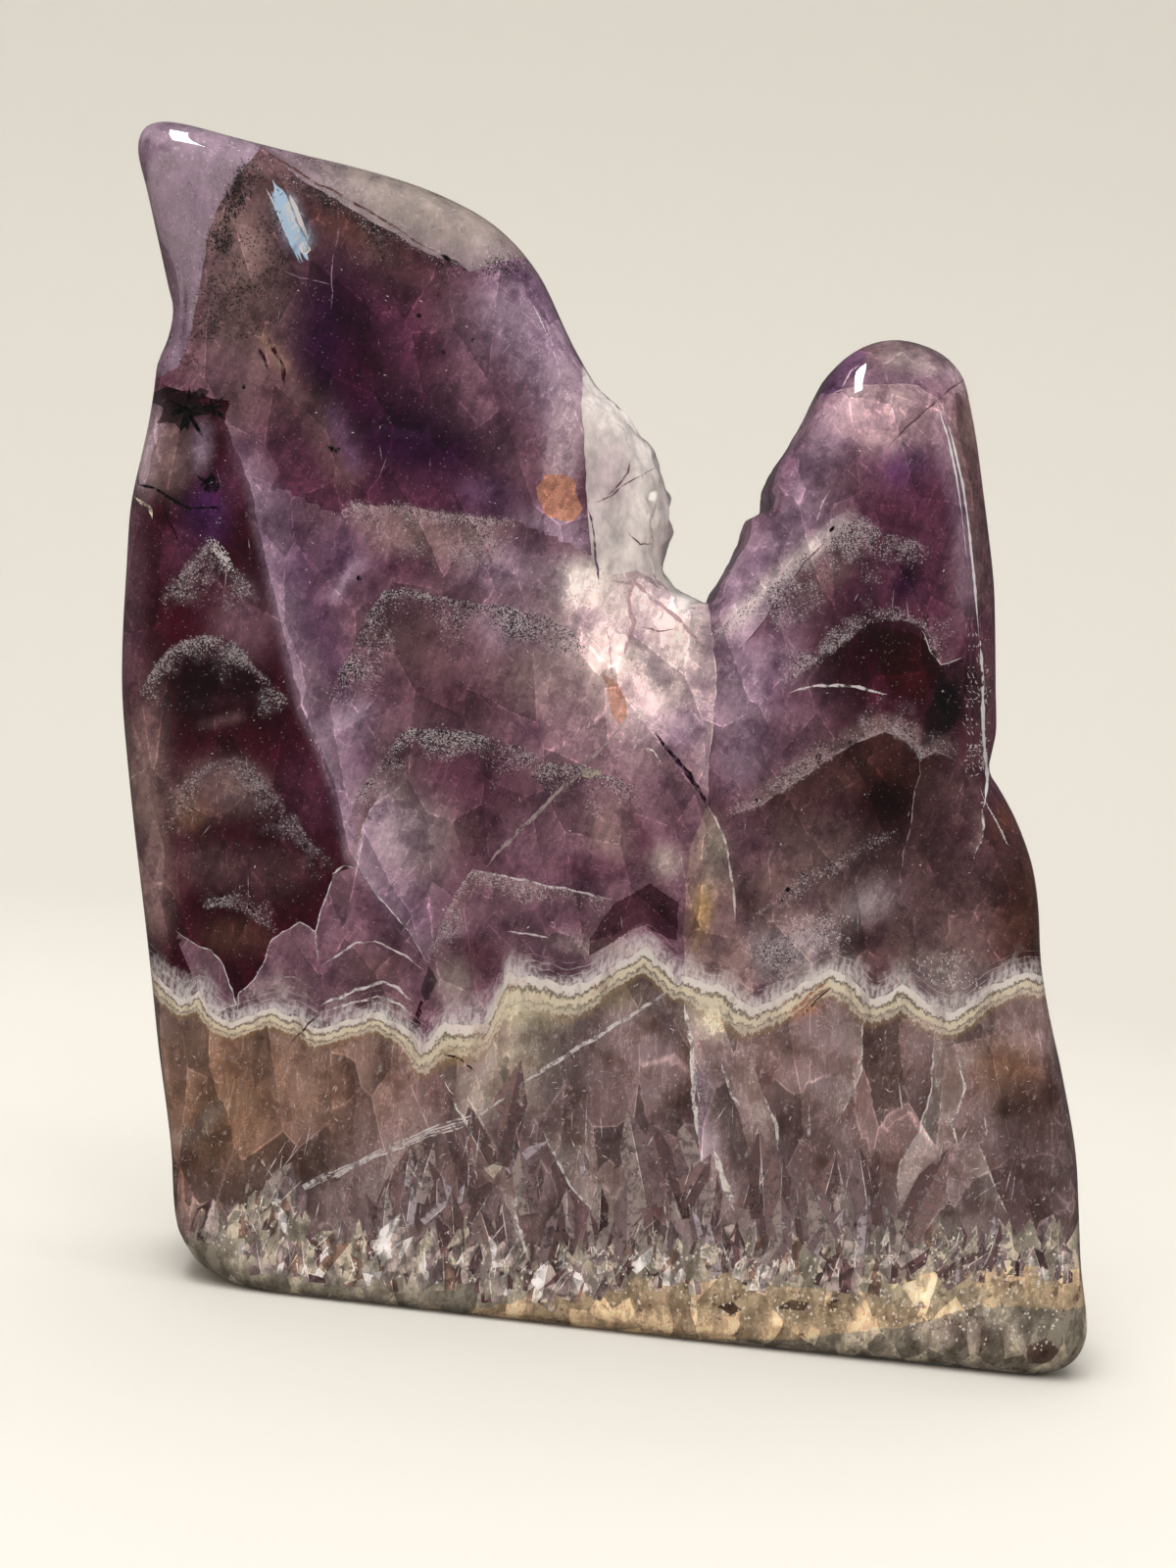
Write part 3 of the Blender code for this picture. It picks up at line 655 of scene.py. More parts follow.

# Soft bands of another tone: (line, half width, tone, strength).
# The soft band of sky blue round the streak is painted reflection, as the streak itself is.
STREAK_REFLECTION_GLOW = [(-30.4, 84.8), (-29.2, 82.6), (-27.9, 80.4)]
TAN_BAND = [(-29.5, 71.7), (-27.7, 69.7), (-26.2, 68.5), (-24.6, 66.4), (-23.0, 64.0), (-21.6, 61.9)]
STROKES = [
    (TAN_BAND, 1.4, "smoky", 0.8),
    (PALE_BOUNDARY, 0.5, "lavender", 0.35),
    (STREAK_REFLECTION_GLOW, 0.75, "sky", 0.85),
    ([(-31.0, 74.4), (-29.4, 72.5), (-27.9, 70.9)], 0.5, "fawn", 0.7),
    ([(-25.0, 69.4), (-23.4, 66.6), (-21.6, 63.6)], 0.8, "grape", 0.7),
    ([(-34.2, 54.6), (-33.2, 56.0), (-35.6, 51.0)], 0.7, "dark_plum", 0.8),
    ([(-20.5, 57.8), (-21.7, 56.1), (-23.0, 53.6)], 0.5, "lavender", 0.6),
    ([(-32.4, 43.1), (-30.5, 43.6), (-28.2, 44.5)], 0.4, "smoky", 0.6),
    ([(-30.5, 10.5), (-28.4, 12.0), (-26.3, 14.9)], 0.6, "ash", 0.5),
    ([(6.6, 53.6), (9.0, 56.6), (11.6, 59.6)], 0.6, "pale_lilac", 0.6),
    ([(7.0, 54.4), (10.5, 58.8), (14.0, 62.6), (17.0, 65.6)], 0.7, "pearl", 0.8),
    ([(28.9, 57.0), (28.4, 62.0), (27.4, 67.0)], 0.5, "grape", 0.6),
    ([(19.0, 9.4), (26.0, 10.6), (34.0, 12.0)], 1.0, "ash", 0.5),
]

# Grainy skins that once were the crystals' outsides: (line, reach over it, reach under it,
# white grains, dark grains, haze, shade on the crystal under it, depth of that shade).
PHANTOMS = [
    (PHANTOM_RIGHT[:6], 0.1, 1.6, 0.1, 0.6, 0.2, 0.3, 1.0),
    (PHANTOM_RIGHT[5:], 0.9, 1.2, 0.3, 0.7, 0.3, 0.0, 1.0),
    (PHANTOM_LEFT, 0.1, 3.0, 0.1, 0.5, 0.0, 0.0, 1.0),
    (LEFT_CHEVRON_HIGH, 0.3, 1.6, 0.5, 0.2, 0.6, 0.1, 3.0),
    (LEFT_CHEVRON_MIDDLE, 0.1, 1.2, 0.9, 0.4, 0.6, 0.2, 4.0),
    (LEFT_CHEVRON_LOW, 0.5, 2.0, 0.3, 0.3, 0.6, 0.1, 3.0),
    (LEFT_CHEVRON_LOWEST, 0.9, 0.2, 0.6, 0.2, 0.5, 0.2, 2.0),
    (TOP_ARC, 0.3, 2.2, 0.6, 0.3, 0.6, 0.0, 2.0),
    (MIDDLE_PHANTOM_HIGH, 0.15, 2.0, 0.8, 1.0, 0.6, 0.2, 4.0),
    (MIDDLE_PHANTOM_MIDDLE, 0.1, 1.6, 0.8, 0.8, 0.6, 0.2, 3.0),
    (MIDDLE_PHANTOM_LOW, 0.05, 1.2, 0.8, 0.2, 0.6, 0.1, 3.0),
    (RIGHT_PHANTOM_HIGH, 0.4, 2.0, 0.8, 0.4, 0.8, 0.1, 3.0),
    (RIGHT_PHANTOM_MIDDLE, 1.3, 0.2, 0.7, 0.4, 0.7, 0.45, 4.0),
    (RIGHT_PHANTOM_LOW, 1.5, 0.1, 0.4, 0.3, 0.7, 0.35, 4.0),
    (RIGHT_DIAGONAL_HIGH, 0.6, 0.6, 0.4, 0.2, 0.4, 0.0, 2.0),
    (RIGHT_DIAGONAL_LOW, 1.2, 1.2, 0.6, 0.3, 0.7, 0.0, 2.0),
]

# Fractures and seams that catch the light, as thin strips: (line, width, tone).
FRACTURES = [
    (NODE_LEFT, 0.1, "frost"),
    (NODE_RIGHT, 0.1, "frost"),
    ([(-20.4, 32.9), (-19.5, 33.7), (-18.5, 33.5)], 0.14, "frost"),
    (MIDDLE_LINE, 0.26, "ash"),
    (MIDDLE_PHANTOM_LOW[3:], 0.16, "frost"),
    (RIGHT_LINE, 0.2, "frost"),
    (SHELL, 0.08, "frost"),
    (RIGHT_PHANTOM_LOW, 0.1, "ash"),
    (SEAM, 0.07, "ash"),
    (BETWEEN_PEAKS[1:5], 0.07, "milky"),
    (COLUMN_RIGHT[:4], 0.16, "frost"),
    (BEAM_EDGE, 0.09, "smoky"),
    (ARC, 0.08, "rose"),
    (DIAGONAL, 0.14, "smoky"),
    ([(16.0, 77.0), (15.4, 76.2), (14.8, 74.8)], 0.1, "pale_lilac"),
    (HOOK, 0.16, "frost"),
    (SHARD_LEFT, 0.08, "frost"),
    (SHARD_MIDDLE[:8], 0.08, "frost"),
    (SHARD_TALL[:3], 0.1, "frost"),
    ([(-20.4, 25.8), (-18.0, 27.8), (-16.5, 28.1), (-15.0, 27.7), (-12.5, 26.3)], 0.14, "frost"),
    (
        [(-20.2, 22.7), (-18.8, 23.5), (-17.3, 24.3), (-15.5, 25.1), (-14.3, 24.7), (-13.0, 23.8)],
        0.2, "frost",
    ),
    ([(-19.7, 22.3), (-17.9, 23.2), (-15.8, 23.9), (-14.1, 23.5), (-12.9, 22.7)], 0.16, "frost"),
    ([(-25.4, 23.4), (-24.0, 24.4), (-22.4, 24.6), (-20.8, 24.0)], 0.12, "ash"),
    ([(-26.0, 22.6), (-24.2, 23.6), (-22.0, 23.8), (-20.4, 23.0)], 0.1, "ash"),
    ([(-6.4, 30.0), (-4.8, 30.0), (-3.2, 29.9)], 0.14, "frost"),
    ([(-20.1, 22.0), (-20.9, 21.1), (-22.1, 19.4)], 0.14, "brown"),
    ([(-10.6, 20.2), (-9.0, 19.8), (-7.6, 18.9)], 0.16, "maroon"),
    (FAN_LEFT, 0.2, "ash"),
    (FAN_RIGHT, 0.16, "frost"),
    (CHIP_EDGE, 0.16, "milky"),
    (BRIGHT_EDGE, 0.26, "milky"),
    (LONG_EDGE, 0.16, "frost"),
    (COLUMN_FOOT[:4], 0.34, "milky"),
    ([(11.2, 21.8), (12.2, 19.4), (13.0, 18.6)], 0.2, "frost"),
    ([(11.4, 15.0), (12.4, 12.7), (13.5, 10.5)], 0.46, "milky"),
    (CURVED_EDGE[1:], 0.22, "frost"),
    (THIN_EDGE, 0.12, "frost"),
    (TALL_EDGE, 0.12, "frost"),
    (TALL_MIDDLE, 0.2, "milky"),
    (TALL_RIGHT, 0.14, "frost"),
    (STEP_EDGE, 0.14, "frost"),
    (LEFT_PLANE, 0.16, "milky"),
    ([(6.7, 13.3), (8.1, 12.3), (8.2, 10.0), (8.7, 8.2)], 0.14, "frost"),
    ([(24.6, 7.6), (25.0, 9.4), (25.8, 10.4), (27.0, 9.8), (28.4, 8.4)], 0.2, "milky"),
    ([(-14.8, 5.8), (-13.4, 5.0), (-12.2, 3.2)], 0.16, "frost"),
    ([(-8.0, 5.4), (-6.4, 4.6), (-5.4, 2.8)], 0.3, "milky"),
    ([(-23.4, 7.4), (-22.2, 7.6), (-20.8, 6.0), (-20.4, 4.2)], 0.16, "milky"),
    (BLACK_LINE, 0.42, "ink"),
    (BROWN_LINE, 0.16, "brown"),
    (LEFT_CRACK, 0.2, "black_plum"),
    ([(-36.5, 59.9), (-36.0, 58.4), (-35.1, 57.1)], 0.2, "dark_plum"),
    ([(-38.8, 60.4), (-37.5, 59.6), (-37.3, 58.6)], 0.2, "cream"),
    (PURPLE_CRACK, 0.34, "deep_violet"),
    (HAIR_TALL, 0.07, "lavender"),
    ([(-29.4, 78.8), (-28.1, 78.4), (-26.8, 78.4), (-25.6, 78.2)], 0.07, "lavender"),
    ([(-30.0, 73.7), (-29.5, 72.7), (-28.9, 71.9)], 0.26, "dark_plum"),
    ([(-30.6, 72.7), (-30.0, 71.8), (-29.7, 71.0)], 0.2, "dark_plum"),
    ([(-28.9, 72.2), (-28.5, 71.2), (-28.3, 70.2)], 0.24, "dark_plum"),
    ([(1.7, 45.1), (2.1, 46.1)], 0.16, "milky"),
    ([(2.5, 45.4), (3.4, 45.1)], 0.16, "milky"),
    ([(3.3, 45.1), (4.1, 44.0)], 0.14, "milky"),
    ([(14.6, 66.8), (13.9, 65.4), (13.7, 64.2)], 0.08, "frost"),
    ([(14.8, 63.5), (15.2, 64.1)], 0.3, "ink"),
    ([(16.1, 26.2), (17.6, 28.1), (18.7, 29.1)], 0.2, "rust"),
    ([(16.4, 25.8), (17.9, 27.7), (18.9, 28.6)], 0.14, "rust"),
    ([(17.0, 26.0), (18.3, 27.8), (19.0, 28.6)], 0.12, "brown"),
    ([(21.3, 4.0), (22.4, 4.7)], 0.2, "brown"),
    ([(-1.0, 67.5), (-1.1, 66.3), (-1.6, 65.5), (-2.6, 64.4)], 0.13, "smoky"),
    ([(0.9, 67.2), (-0.2, 66.2), (-1.6, 65.2)], 0.1, "smoky"),
    ([(-3.9, 63.2), (-3.2, 61.4), (-2.9, 59.2), (-2.4, 57.4)], 0.16, "grape"),
    ([(-0.6, 61.8), (0.4, 61.0), (1.2, 61.2)], 0.1, "smoky"),
    ([(-3.4, 63.8), (-2.2, 64.4), (-1.6, 65.2)], 0.14, "mauve"),
    ([(1.4, 64.6), (0.9, 62.8), (1.3, 61.0)], 0.08, "ash"),
    ([(-1.4, 58.0), (0.4, 58.0), (2.0, 56.8), (4.0, 55.6), (6.0, 53.8)], 0.3, "rose"),
    ([(0.4, 58.8), (0.0, 56.8), (0.6, 54.8), (0.2, 52.4)], 0.3, "rose"),
    ([(0.8, 54.6), (2.6, 54.4), (4.0, 54.8)], 0.08, "smoky"),
    ([(-1.4, 54.4), (-1.0, 52.6), (-0.6, 50.4)], 0.12, "pale_lilac"),
]
# A bundle of long fibres that run side by side, a little apart across their way.
BUNDLE = [
    (6.9, 27.2), (2.4, 23.5), (-3.2, 19.1), (-7.6, 15.0), (-10.7, 13.8), (-14.0, 12.0),
    (-16.9, 10.0), (-19.3, 8.8), (-21.6, 7.4), (-23.5, 6.2), (-27.7, 3.8),
]
BUNDLE_OFFSETS = [0.0, 0.35, -0.4, 0.8]
BUNDLE_WIDTH = 0.12

# Flat flakes and stains inside the stone: (outline, tone).
PATCHES = [
    ([(-28.6, 81.1), (-28.0, 81.3), (-27.5, 80.7), (-27.8, 80.3), (-28.3, 80.4)], "milky"),
    ([(-33.6, 62.0), (-33.1, 62.7), (-32.4, 62.0), (-32.7, 61.1), (-33.4, 61.1)], "black_plum"),
    ([(-2.2, 43.3), (-0.6, 43.3), (-0.6, 42.6), (-2.0, 42.5)], "beige"),
    ([(1.2, 47.9), (1.7, 48.4), (2.3, 47.8), (1.7, 47.3)], "milky"),
]

# A fibrous streak of pale blue light, a painted reflection in an inner fracture: its middle line,
# the width of its core and of all of it, and its fibres.
STREAK = [(-31.0, 85.7), (-29.6, 83.4), (-28.4, 81.2), (-27.6, 79.9)]
STREAK_CORE = 0.8
STREAK_WIDTH = 1.3
STREAK_FIBRES = 14
STREAK_TONES = ("sky", "sky", "frost")

# Straight bright reflections in polished edges inside the stone: (line, width, tone).
REFLECTIONS = [
    ([(21.9, 74.4), (23.2, 71.8), (24.4, 68.4), (25.4, 64.6), (26.3, 60.6), (27.0, 57.2)], 0.2, "glare"),
    ([(27.0, 57.2), (27.7, 54.0), (28.2, 50.5), (28.7, 47.0), (29.1, 43.7)], 0.32, "glare"),
]

# Fields of fine flecks: (outline, flecks, tone, shortest, longest, width).
SPECK_FIELD = [
    (-33.5, 87.1), (-31.5, 87.5), (-29.6, 85.8), (-30.3, 84.0), (-29.7, 81.3), (-28.6, 77.5),
    (-29.3, 74.7), (-31.5, 73.2), (-35.9, 72.7), (-36.0, 75.5), (-35.7, 79.8), (-34.8, 83.4),
]
SPECK_EDGE = [(-33.4, 86.8), (-31.4, 86.4), (-33.4, 82.6), (-34.2, 79.0), (-35.6, 79.4), (-34.9, 83.2)]
STONE_OVER_BAND = [
    (-35.0, 27.0), (-38.0, 60.0), (-34.0, 72.0), (-30.0, 80.0), (-16.0, 79.0), (-9.0, 76.0),
    (-4.0, 58.0), (8.0, 57.0), (18.0, 76.0), (28.0, 56.0), (32.0, 34.0), (0.0, 30.0),
]
STONE_UNDER_BAND = [
    (-31.0, 8.0), (-35.0, 21.0), (-10.0, 20.0), (4.0, 27.0), (34.0, 28.0), (39.0, 12.0), (0.0, 6.0),
]
FLECKS = [
    (SPECK_FIELD, 1000, "ink", 0.1, 0.3, 0.09),
    (SPECK_EDGE, 420, "ink", 0.12, 0.34, 0.1),
    ([(-14.1, 81.5), (-11.4, 82.0), (-10.9, 80.9), (-13.9, 80.3)], 110, "ink", 0.08, 0.2, 0.09),
    ([(-38.8, 72.0), (-36.4, 72.4), (-34.0, 70.6), (-37.4, 70.0)], 90, "ink", 0.08, 0.2, 0.08),
    (
        [(-32.6, 57.6), (-31.8, 57.4), (-30.9, 56.0), (-30.6, 55.1), (-31.5, 55.8), (-32.2, 56.5)],
        150, "frost", 0.1, 0.3, 0.12,
    ),
    ([(11.0, 33.0), (20.0, 34.6), (20.0, 31.4), (12.0, 29.0)], 130, "frost", 0.1, 0.3, 0.08),
    ([(25.0, 31.4), (31.0, 33.4), (31.0, 29.4), (26.0, 29.6)], 120, "frost", 0.1, 0.3, 0.08),
    ([(26.4, 57.0), (28.4, 57.0), (29.4, 46.0), (27.4, 46.0)], 130, "frost", 0.1, 0.5, 0.08),
    (STONE_OVER_BAND, 240, "silver", 0.06, 0.24, 0.05),
    (STONE_OVER_BAND, 110, "milky", 0.08, 0.3, 0.08),
    (STONE_OVER_BAND, 700, "black_plum", 0.08, 0.24, 0.06),
    (STONE_UNDER_BAND, 420, "frost", 0.08, 0.4, 0.05),
    (STONE_UNDER_BAND, 240, "milky", 0.14, 0.6, 0.06),
    (STONE_UNDER_BAND, 700, "brown", 0.1, 0.36, 0.06),
]

# Glassy splinters that stand in the stone: (outline, splinters, tone, shortest, longest, width).
GLASSY = [
    (-26.0, 3.0), (-26.0, 10.0), (-13.0, 13.0), (-8.0, 19.0), (4.0, 15.0), (12.0, 18.0), (22.0, 19.0),
    (32.0, 19.0), (39.0, 8.0), (39.0, 5.5), (10.0, 4.5),
]
SPLINTERS = [
    (GLASSY, 110, "frost", 0.8, 3.6, 0.1),
    (STONE_OVER_BAND, 50, "silver", 0.5, 2.4, 0.07),
]
# Crystals with a lit and a shaded face, whose two tones are painted light and shade: (outline of
# their feet, crystals, shortest, longest, narrowest, widest, pairs of tones).
TALL_FEET = [
    (-15.0, 4.0), (-14.0, 9.0), (-4.0, 13.0), (10.0, 11.0), (22.0, 13.0), (36.0, 11.0), (38.5, 7.0),
    (24.0, 6.5), (10.0, 5.0),
]
CRUST_FEET = CRUST_TOP + [(44.0, 4.0), (10.0, 2.0), (0.0, 1.0), (-30.0, 0.4)]
CRYSTALS = [
    (TALL_FEET, 46, 3.0, 8.5, 1.0, 2.6, [("ash", "dove"), ("dove", "pewter"), ("rosy_grey", "pewter")]),
    (TALL_FEET, 40, 1.5, 4.5, 0.6, 1.5, [("ash", "pewter"), ("ash", "umber"), ("silver", "dove")]),
]
DRUSE = (
    CRUST_FEET, 420, 1.0, 3.4, 0.7, 2.1,
    [("beige", "fawn"), ("ash", "dove"), ("frost", "ash"), ("beige", "dove"), ("ash", "smoky")],
)

# How far the small crystals' feet reach down over the rock's edge, where a crystal's sides turn
# in to its tip, as a share of its length, and the width of the painted highlight on the ridge
# between its faces.
DRUSE_UNDER_ROCK = 0.9
SHOULDER = 0.62
RIDGE_WIDTH = 0.08

# How far splinters and flecks lean from upright, in radians, the flecks in the phantoms' skins
# for each millimetre of their line, and where flecks lie between the body, 0, and the skin, 1.
SPLINTER_LEAN = 0.3
FLECK_LEAN = 1.3
FLECKS_ALONG = 10
FLECK_LENGTHS = (0.06, 0.2)
FLECK_WIDTH = 0.06
FLECK_MARGIN = 0.4
SHEET_LIFT = 0.08
DEEPEST_FLECK = 0.45

# Dark dots of another mineral: (x, z, radius).
DOTS = [
    (16.0, 46.2, 0.26), (16.1, 45.7, 0.2), (18.4, 47.5, 0.3), (11.6, 42.3, 0.16), (14.8, 35.7, 0.2),
    (-20.9, 55.9, 0.24), (-31.4, 69.6, 0.2), (-18.6, 76.6, 0.2), (-16.4, 74.0, 0.2), (-14.2, 75.2, 0.18),
]
DOT_CORNERS = 7

# Bursts of dark needles: (centre, reach, needles, tone).
BURSTS = [
    ((-35.6, 67.4), 1.9, 26, "ink"),
    ((-33.6, 67.8), 1.2, 14, "black_plum"),
    ((-33.6, 61.9), 0.7, 8, "ink"),
    ((-23.9, 65.6), 0.5, 7, "black_plum"),
]

# Glints on the crust: the box they are drawn in, its low and its high corner, how many are
# tried there, and how far they stay from the outline.
GLINT_BOX = [(-34, 0.6), (40, 13)]
GLINT_TRIES = 5200
GLINT_MARGIN = 2.4
GLINT_TONES = ("milky", "milky", "frost", "cream")

# The pale band: how thick it is at places from left to right, and its layers from the top
# down as shares of that thickness: (from, to, tone, strength).
BAND_THICKNESS = [
    (-36.0, 1.2), (-14.0, 1.3), (-11.0, 2.3), (0.0, 2.2), (2.0, 1.6), (7.5, 1.6), (9.0, 2.0),
    (12.6, 2.2), (14.0, 1.8), (25.0, 1.8), (40.0, 1.3),
]
BAND_LAYERS = [
    (0.1, -0.34, "milky", 0.9),
    (-0.34, -0.46, "olive", 0.85),
    (-0.46, -0.78, "cream", 0.95),
    (-0.78, -0.86, "olive", 0.4),
    (-0.86, -1.06, "cream", 0.7),
    (-1.06, -1.3, "gold", 0.35),
]

# The clouded body: how far inside the outline it begins, at the sides and at the base, which
# share of a break's depth is added to that, and the depth of the deepest break.
CORE_SIDE_INSET = 0.6
CORE_BASE_INSET = 0.3
BREAK_SHARE = 0.45
DEEPEST_BREAK = 1.2

# How deep under the skin the clouded body begins.
CORE_DEPTH = 0.7
BAND_DEPTH = 0.35
BASE_DEPTH = 0.2
LEAST_DEPTH = 0.22
MOST_DEPTH = 1.7

# How finely the clouded body is made. A corner takes its tone a little inside its triangle, by
# the share NUDGE, so that tones don't run over the lines between the parts.
PLAN_SPACING = 0.46
FINE_SPACING = 0.32
BORDER_GAP = 0.22
PLAN_TOLERANCE = 1e-5
PATCH_SPACING = 0.5
BESIDE_BAND = (-1.6, -1.2, -0.8, -0.4, 0.5)
WALL_ROWS = 8
WALL_BULGE = 0.25
BAND_WALL_GAP = 0.2
NUDGE = 0.3

# The small natural wander of lines across their way, and the size of its waves.
WANDER = 0.16
WANDER_SIZE = 1.4
LOOP_WANDER_SIZE = 0.9

# The clear quartz, and how much of the light the haze in the clear tips holds.
QUARTZ_IOR = 1.544
SKIN_ROUGHNESS = 0.012
SKIN_ABSORPTION = (0.62, 0.50, 0.60)
SKIN_ABSORPTION_DENSITY = 100.0
HAZE_CAP = 0.5
HAZE_WINDOW = 0.75

# How strongly these show on the clouded pieces: the phantoms' haze and grains, the band's pale
# fringe, the rust stains under the band, and the pits in the rock.
HAZE_STRENGTH = 0.66
WHITE_GRAINS = 0.5
DARK_GRAINS = 0.85
FRINGE = 0.85
STAIN = 0.5
PITS = 0.75
LAYER_BLUR = 0.06

# How high the frosted surfaces stand, in metres.
CRUST_BUMP = 0.0004
DRUSE_BUMP = 0.0003

# How stone of a given lightness looks through the lit quartz: LEAST_SEEN + LET_OUT times it
# + SENT_BACK times its square.
LEAST_SEEN = 0.006
LET_OUT = 0.6
SENT_BACK = 0.2


def length_of(ways):
    return np.linalg.norm(ways, axis=-1, keepdims=True)


def left_of(ways):
    """Unit vectors to the left of ways on the face."""
    return np.column_stack([-ways[:, 1], ways[:, 0]]) / length_of(ways)


def curve_point(before, start, end, after, share):
    """Points at share of the way from start to end on the smooth curve through all four."""
    length = length_of(end - start)
    leaving = (end - before) * length / length_of(end - before)
    arriving = (after - start) * length / length_of(after - start)
    square, cube = share**2, share**3
    return (
        (2 * cube - 3 * square + 1) * start
        + (cube - 2 * square + share) * leaving
        + (3 * square - 2 * cube) * end
        + (cube - square) * arriving
    )


def sample_outline():
    """Points along the outline, and the finish at each of them."""
    corners = []
    for points, *finish in STRETCHES:
        corners += [(np.array(point), finish) for point in points]
    count = len(corners)
    samples, finishes = [], []
    for i in range(count):
        (before, _), (start, finish) = corners[i - 1], corners[i]
        (end, next_finish), (after, _) = corners[(i + 1) % count], corners[(i + 2) % count]
        broken = finish[3] > 0.5
        straight = broken or start[1] == end[1] == 0
        spacing = BROKEN_SPACING if broken else POINT_SPACING
        steps = max(1, round(np.linalg.norm(end - start) / spacing))
        for step in range(steps):
            share = step / steps
            if straight:
                samples.append(start + share * (end - start))
            else:
                samples.append(curve_point(before, start, end, after, share))
            finishes.append(np.array(finish) * (1 - share) + np.array(next_finish) * share)
    return np.array(samples), np.array(finishes)


def blended(values, passes):
    """Values along the closed outline, evened out between neighbours."""
    for _ in range(passes):
        values = (np.roll(values, 1, 0) + 2 * values + np.roll(values, -1, 0)) / 4
    return values


def inward_normals(points):
    """Unit vectors from each point of an anticlockwise outline into the stone."""
    return left_of(np.roll(points, -1, 0) - np.roll(points, 1, 0))


def march_inward(points, furthest):
    """Outlines at MARCH_STEP apart, each inside the one before, kept from crossing themselves."""
    layers = [points]
    for _ in range(math.ceil(furthest / MARCH_STEP) + 1):
        points = points + MARCH_STEP * inward_normals(points)
        middle = (np.roll(points, 1, 0) + np.roll(points, -1, 0)) / 2
        points = points + MARCH_SMOOTHING * (middle - points)
        layers.append(points)
    return np.array(layers)


def inset(layers, distances):
    """The outline with each of its points moved into the stone by its own distance."""
    places = distances / MARCH_STEP
    lower = np.floor(places).astype(int)
    share = (places - lower)[:, None]
    index = np.arange(len(distances))
    return layers[lower, index] * (1 - share) + layers[lower + 1, index] * share


def chipped(place):
    """How far broken stone stands back at a place, from 0 to 1, in steps like chipped ledges."""
    spot = Vector(place) / CHIP_SIZE
    depth = 0.5 + 0.5 * noise.fractal(spot, 0.6, 2.1, 3)
    stepped = round(depth * CHIP_LEVELS) / CHIP_LEVELS
    return min(1.0, max(0.0, 0.35 * depth + 0.65 * stepped))


def half_thickness(height):
    """Half of the stone's thickness at a height."""
    share = np.clip(height / HEIGHT, 0, 1)
    return (THICKNESS_AT_BASE * (1 - share) + THICKNESS_AT_TOP * share) / 2


def ring_of(flat, share):
    """An outline as a ring of points in space, each at its share of the half thickness.

    Its broken stretches are moved into the stone, in ledges that change with depth.
    """
    y = share * half_thickness(flat[:, 1])
    normals = inward_normals(OUTLINE)
    moved = flat.copy()
    for i in np.flatnonzero(FINISHES[:, 3] > LEAST_CHIP):
        depth = FINISHES[i, 3] * chipped((flat[i, 0], y[i], flat[i, 1]))
        moved[i] += depth * normals[i]
    return np.column_stack([moved[:, 0], share * half_thickness(moved[:, 1]), moved[:, 1]])


def rim_ring(angle, side):
    """One ring of the rounded rim. angle is 90 at the face and 0 at the side wall."""
    width, depth, flatness, _ = FINISHES.T
    turn = math.radians(angle)
    along = angle / 90
    across = (1 - math.cos(turn)) * (1 - flatness) + along * flatness
    down = (1 - math.sin(turn)) * (1 - flatness) + (1 - along) * flatness
    flat = inset(LAYERS, width * across)
    share = side * (1 - depth * down / half_thickness(flat[:, 1]))
    return ring_of(flat, share)


def wall_ring(place):
    """One ring of the side wall, place of the way from the front rim to the back rim."""
    reach = 1 - FINISHES[:, 1] / half_thickness(OUTLINE[:, 1])
    swell = WALL_CROWN * 4 * place * (1 - place) * (OUTLINE[:, 1] > BASE_ZONE)
    flat = OUTLINE - swell[:, None] * inward_normals(OUTLINE)
    return ring_of(flat, (2 * place - 1) * reach)


def refined(ring):
    """A ring with REFINEMENT times as many points, on a smooth curve through its own."""
    around = [np.roll(ring, -step, 0) for step in (-1, 0, 1, 2)]
    parts = [curve_point(*around, step / REFINEMENT) for step in range(REFINEMENT)]
    return np.stack(parts, 1).reshape(-1, ring.shape[1])


def skin_rings():
    """Every ring of points of the polished skin, from the front face to the back face."""
    angles = np.linspace(90, 0, RIM_STEPS + 1)
    front = [rim_ring(angle, -1) for angle in angles]
    wall = [wall_ring(step / WALL_STEPS) for step in range(1, WALL_STEPS)]
    back = [rim_ring(angle, 1) for angle in reversed(angles)]
    return [refined(ring) for ring in front + wall + back]


OUTLINE, FINISHES = sample_outline()
FINISHES = blended(FINISHES, FINISH_BLEND_PASSES)
LAYERS = march_inward(OUTLINE, FINISHES[:, 0].max() + MARCH_STEP)
SKIN_RINGS = skin_rings()
SKIN_LOW = np.min([ring.min(0) for ring in SKIN_RINGS], 0)
SKIN_HIGH = np.max([ring.max(0) for ring in SKIN_RINGS], 0)


def in_frame(points):
    """Points in the stone's millimetres as points of the frame, in metres."""
    share = (np.asarray(points) - SKIN_LOW) / (SKIN_HIGH - SKIN_LOW)
    return np.array(CAD_LOW) + share * (np.array(CAD_HIGH) - np.array(CAD_LOW))


def mesh_of(name, points, faces):
    """A smooth mesh of points in the stone's millimetres."""
    mesh = bpy.data.meshes.new(name)
    mesh.from_pydata(in_frame(points).tolist(), [], faces)
    mesh.shade_smooth()
    return mesh


def paint_corners(mesh, layer_name, colours):
    """Keeps a colour for every corner of the mesh's faces in a layer of its own."""
    layer = mesh.color_attributes.new(layer_name, "FLOAT_COLOR", "CORNER")
    layer.data.foreach_set("color", np.column_stack([colours, np.ones(len(colours))]).ravel())


def object_of(name, mesh, material):
    """A mesh as a piece of the stone, which rides on its one body."""
    mesh.materials.append(material)
    piece = bpy.data.objects.new(name, mesh)
    bpy.context.scene.collection.objects.link(piece)
    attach(piece, "root")
    return piece


def light_of(red, green, blue):
    """A colour given as it looks on a screen, 0 to 255, as shares of light."""
    shares = np.array([red, green, blue]) / 255
    return np.where(shares <= 0.04045, shares / 12.92, ((shares + 0.055) / 1.055) ** 2.4)


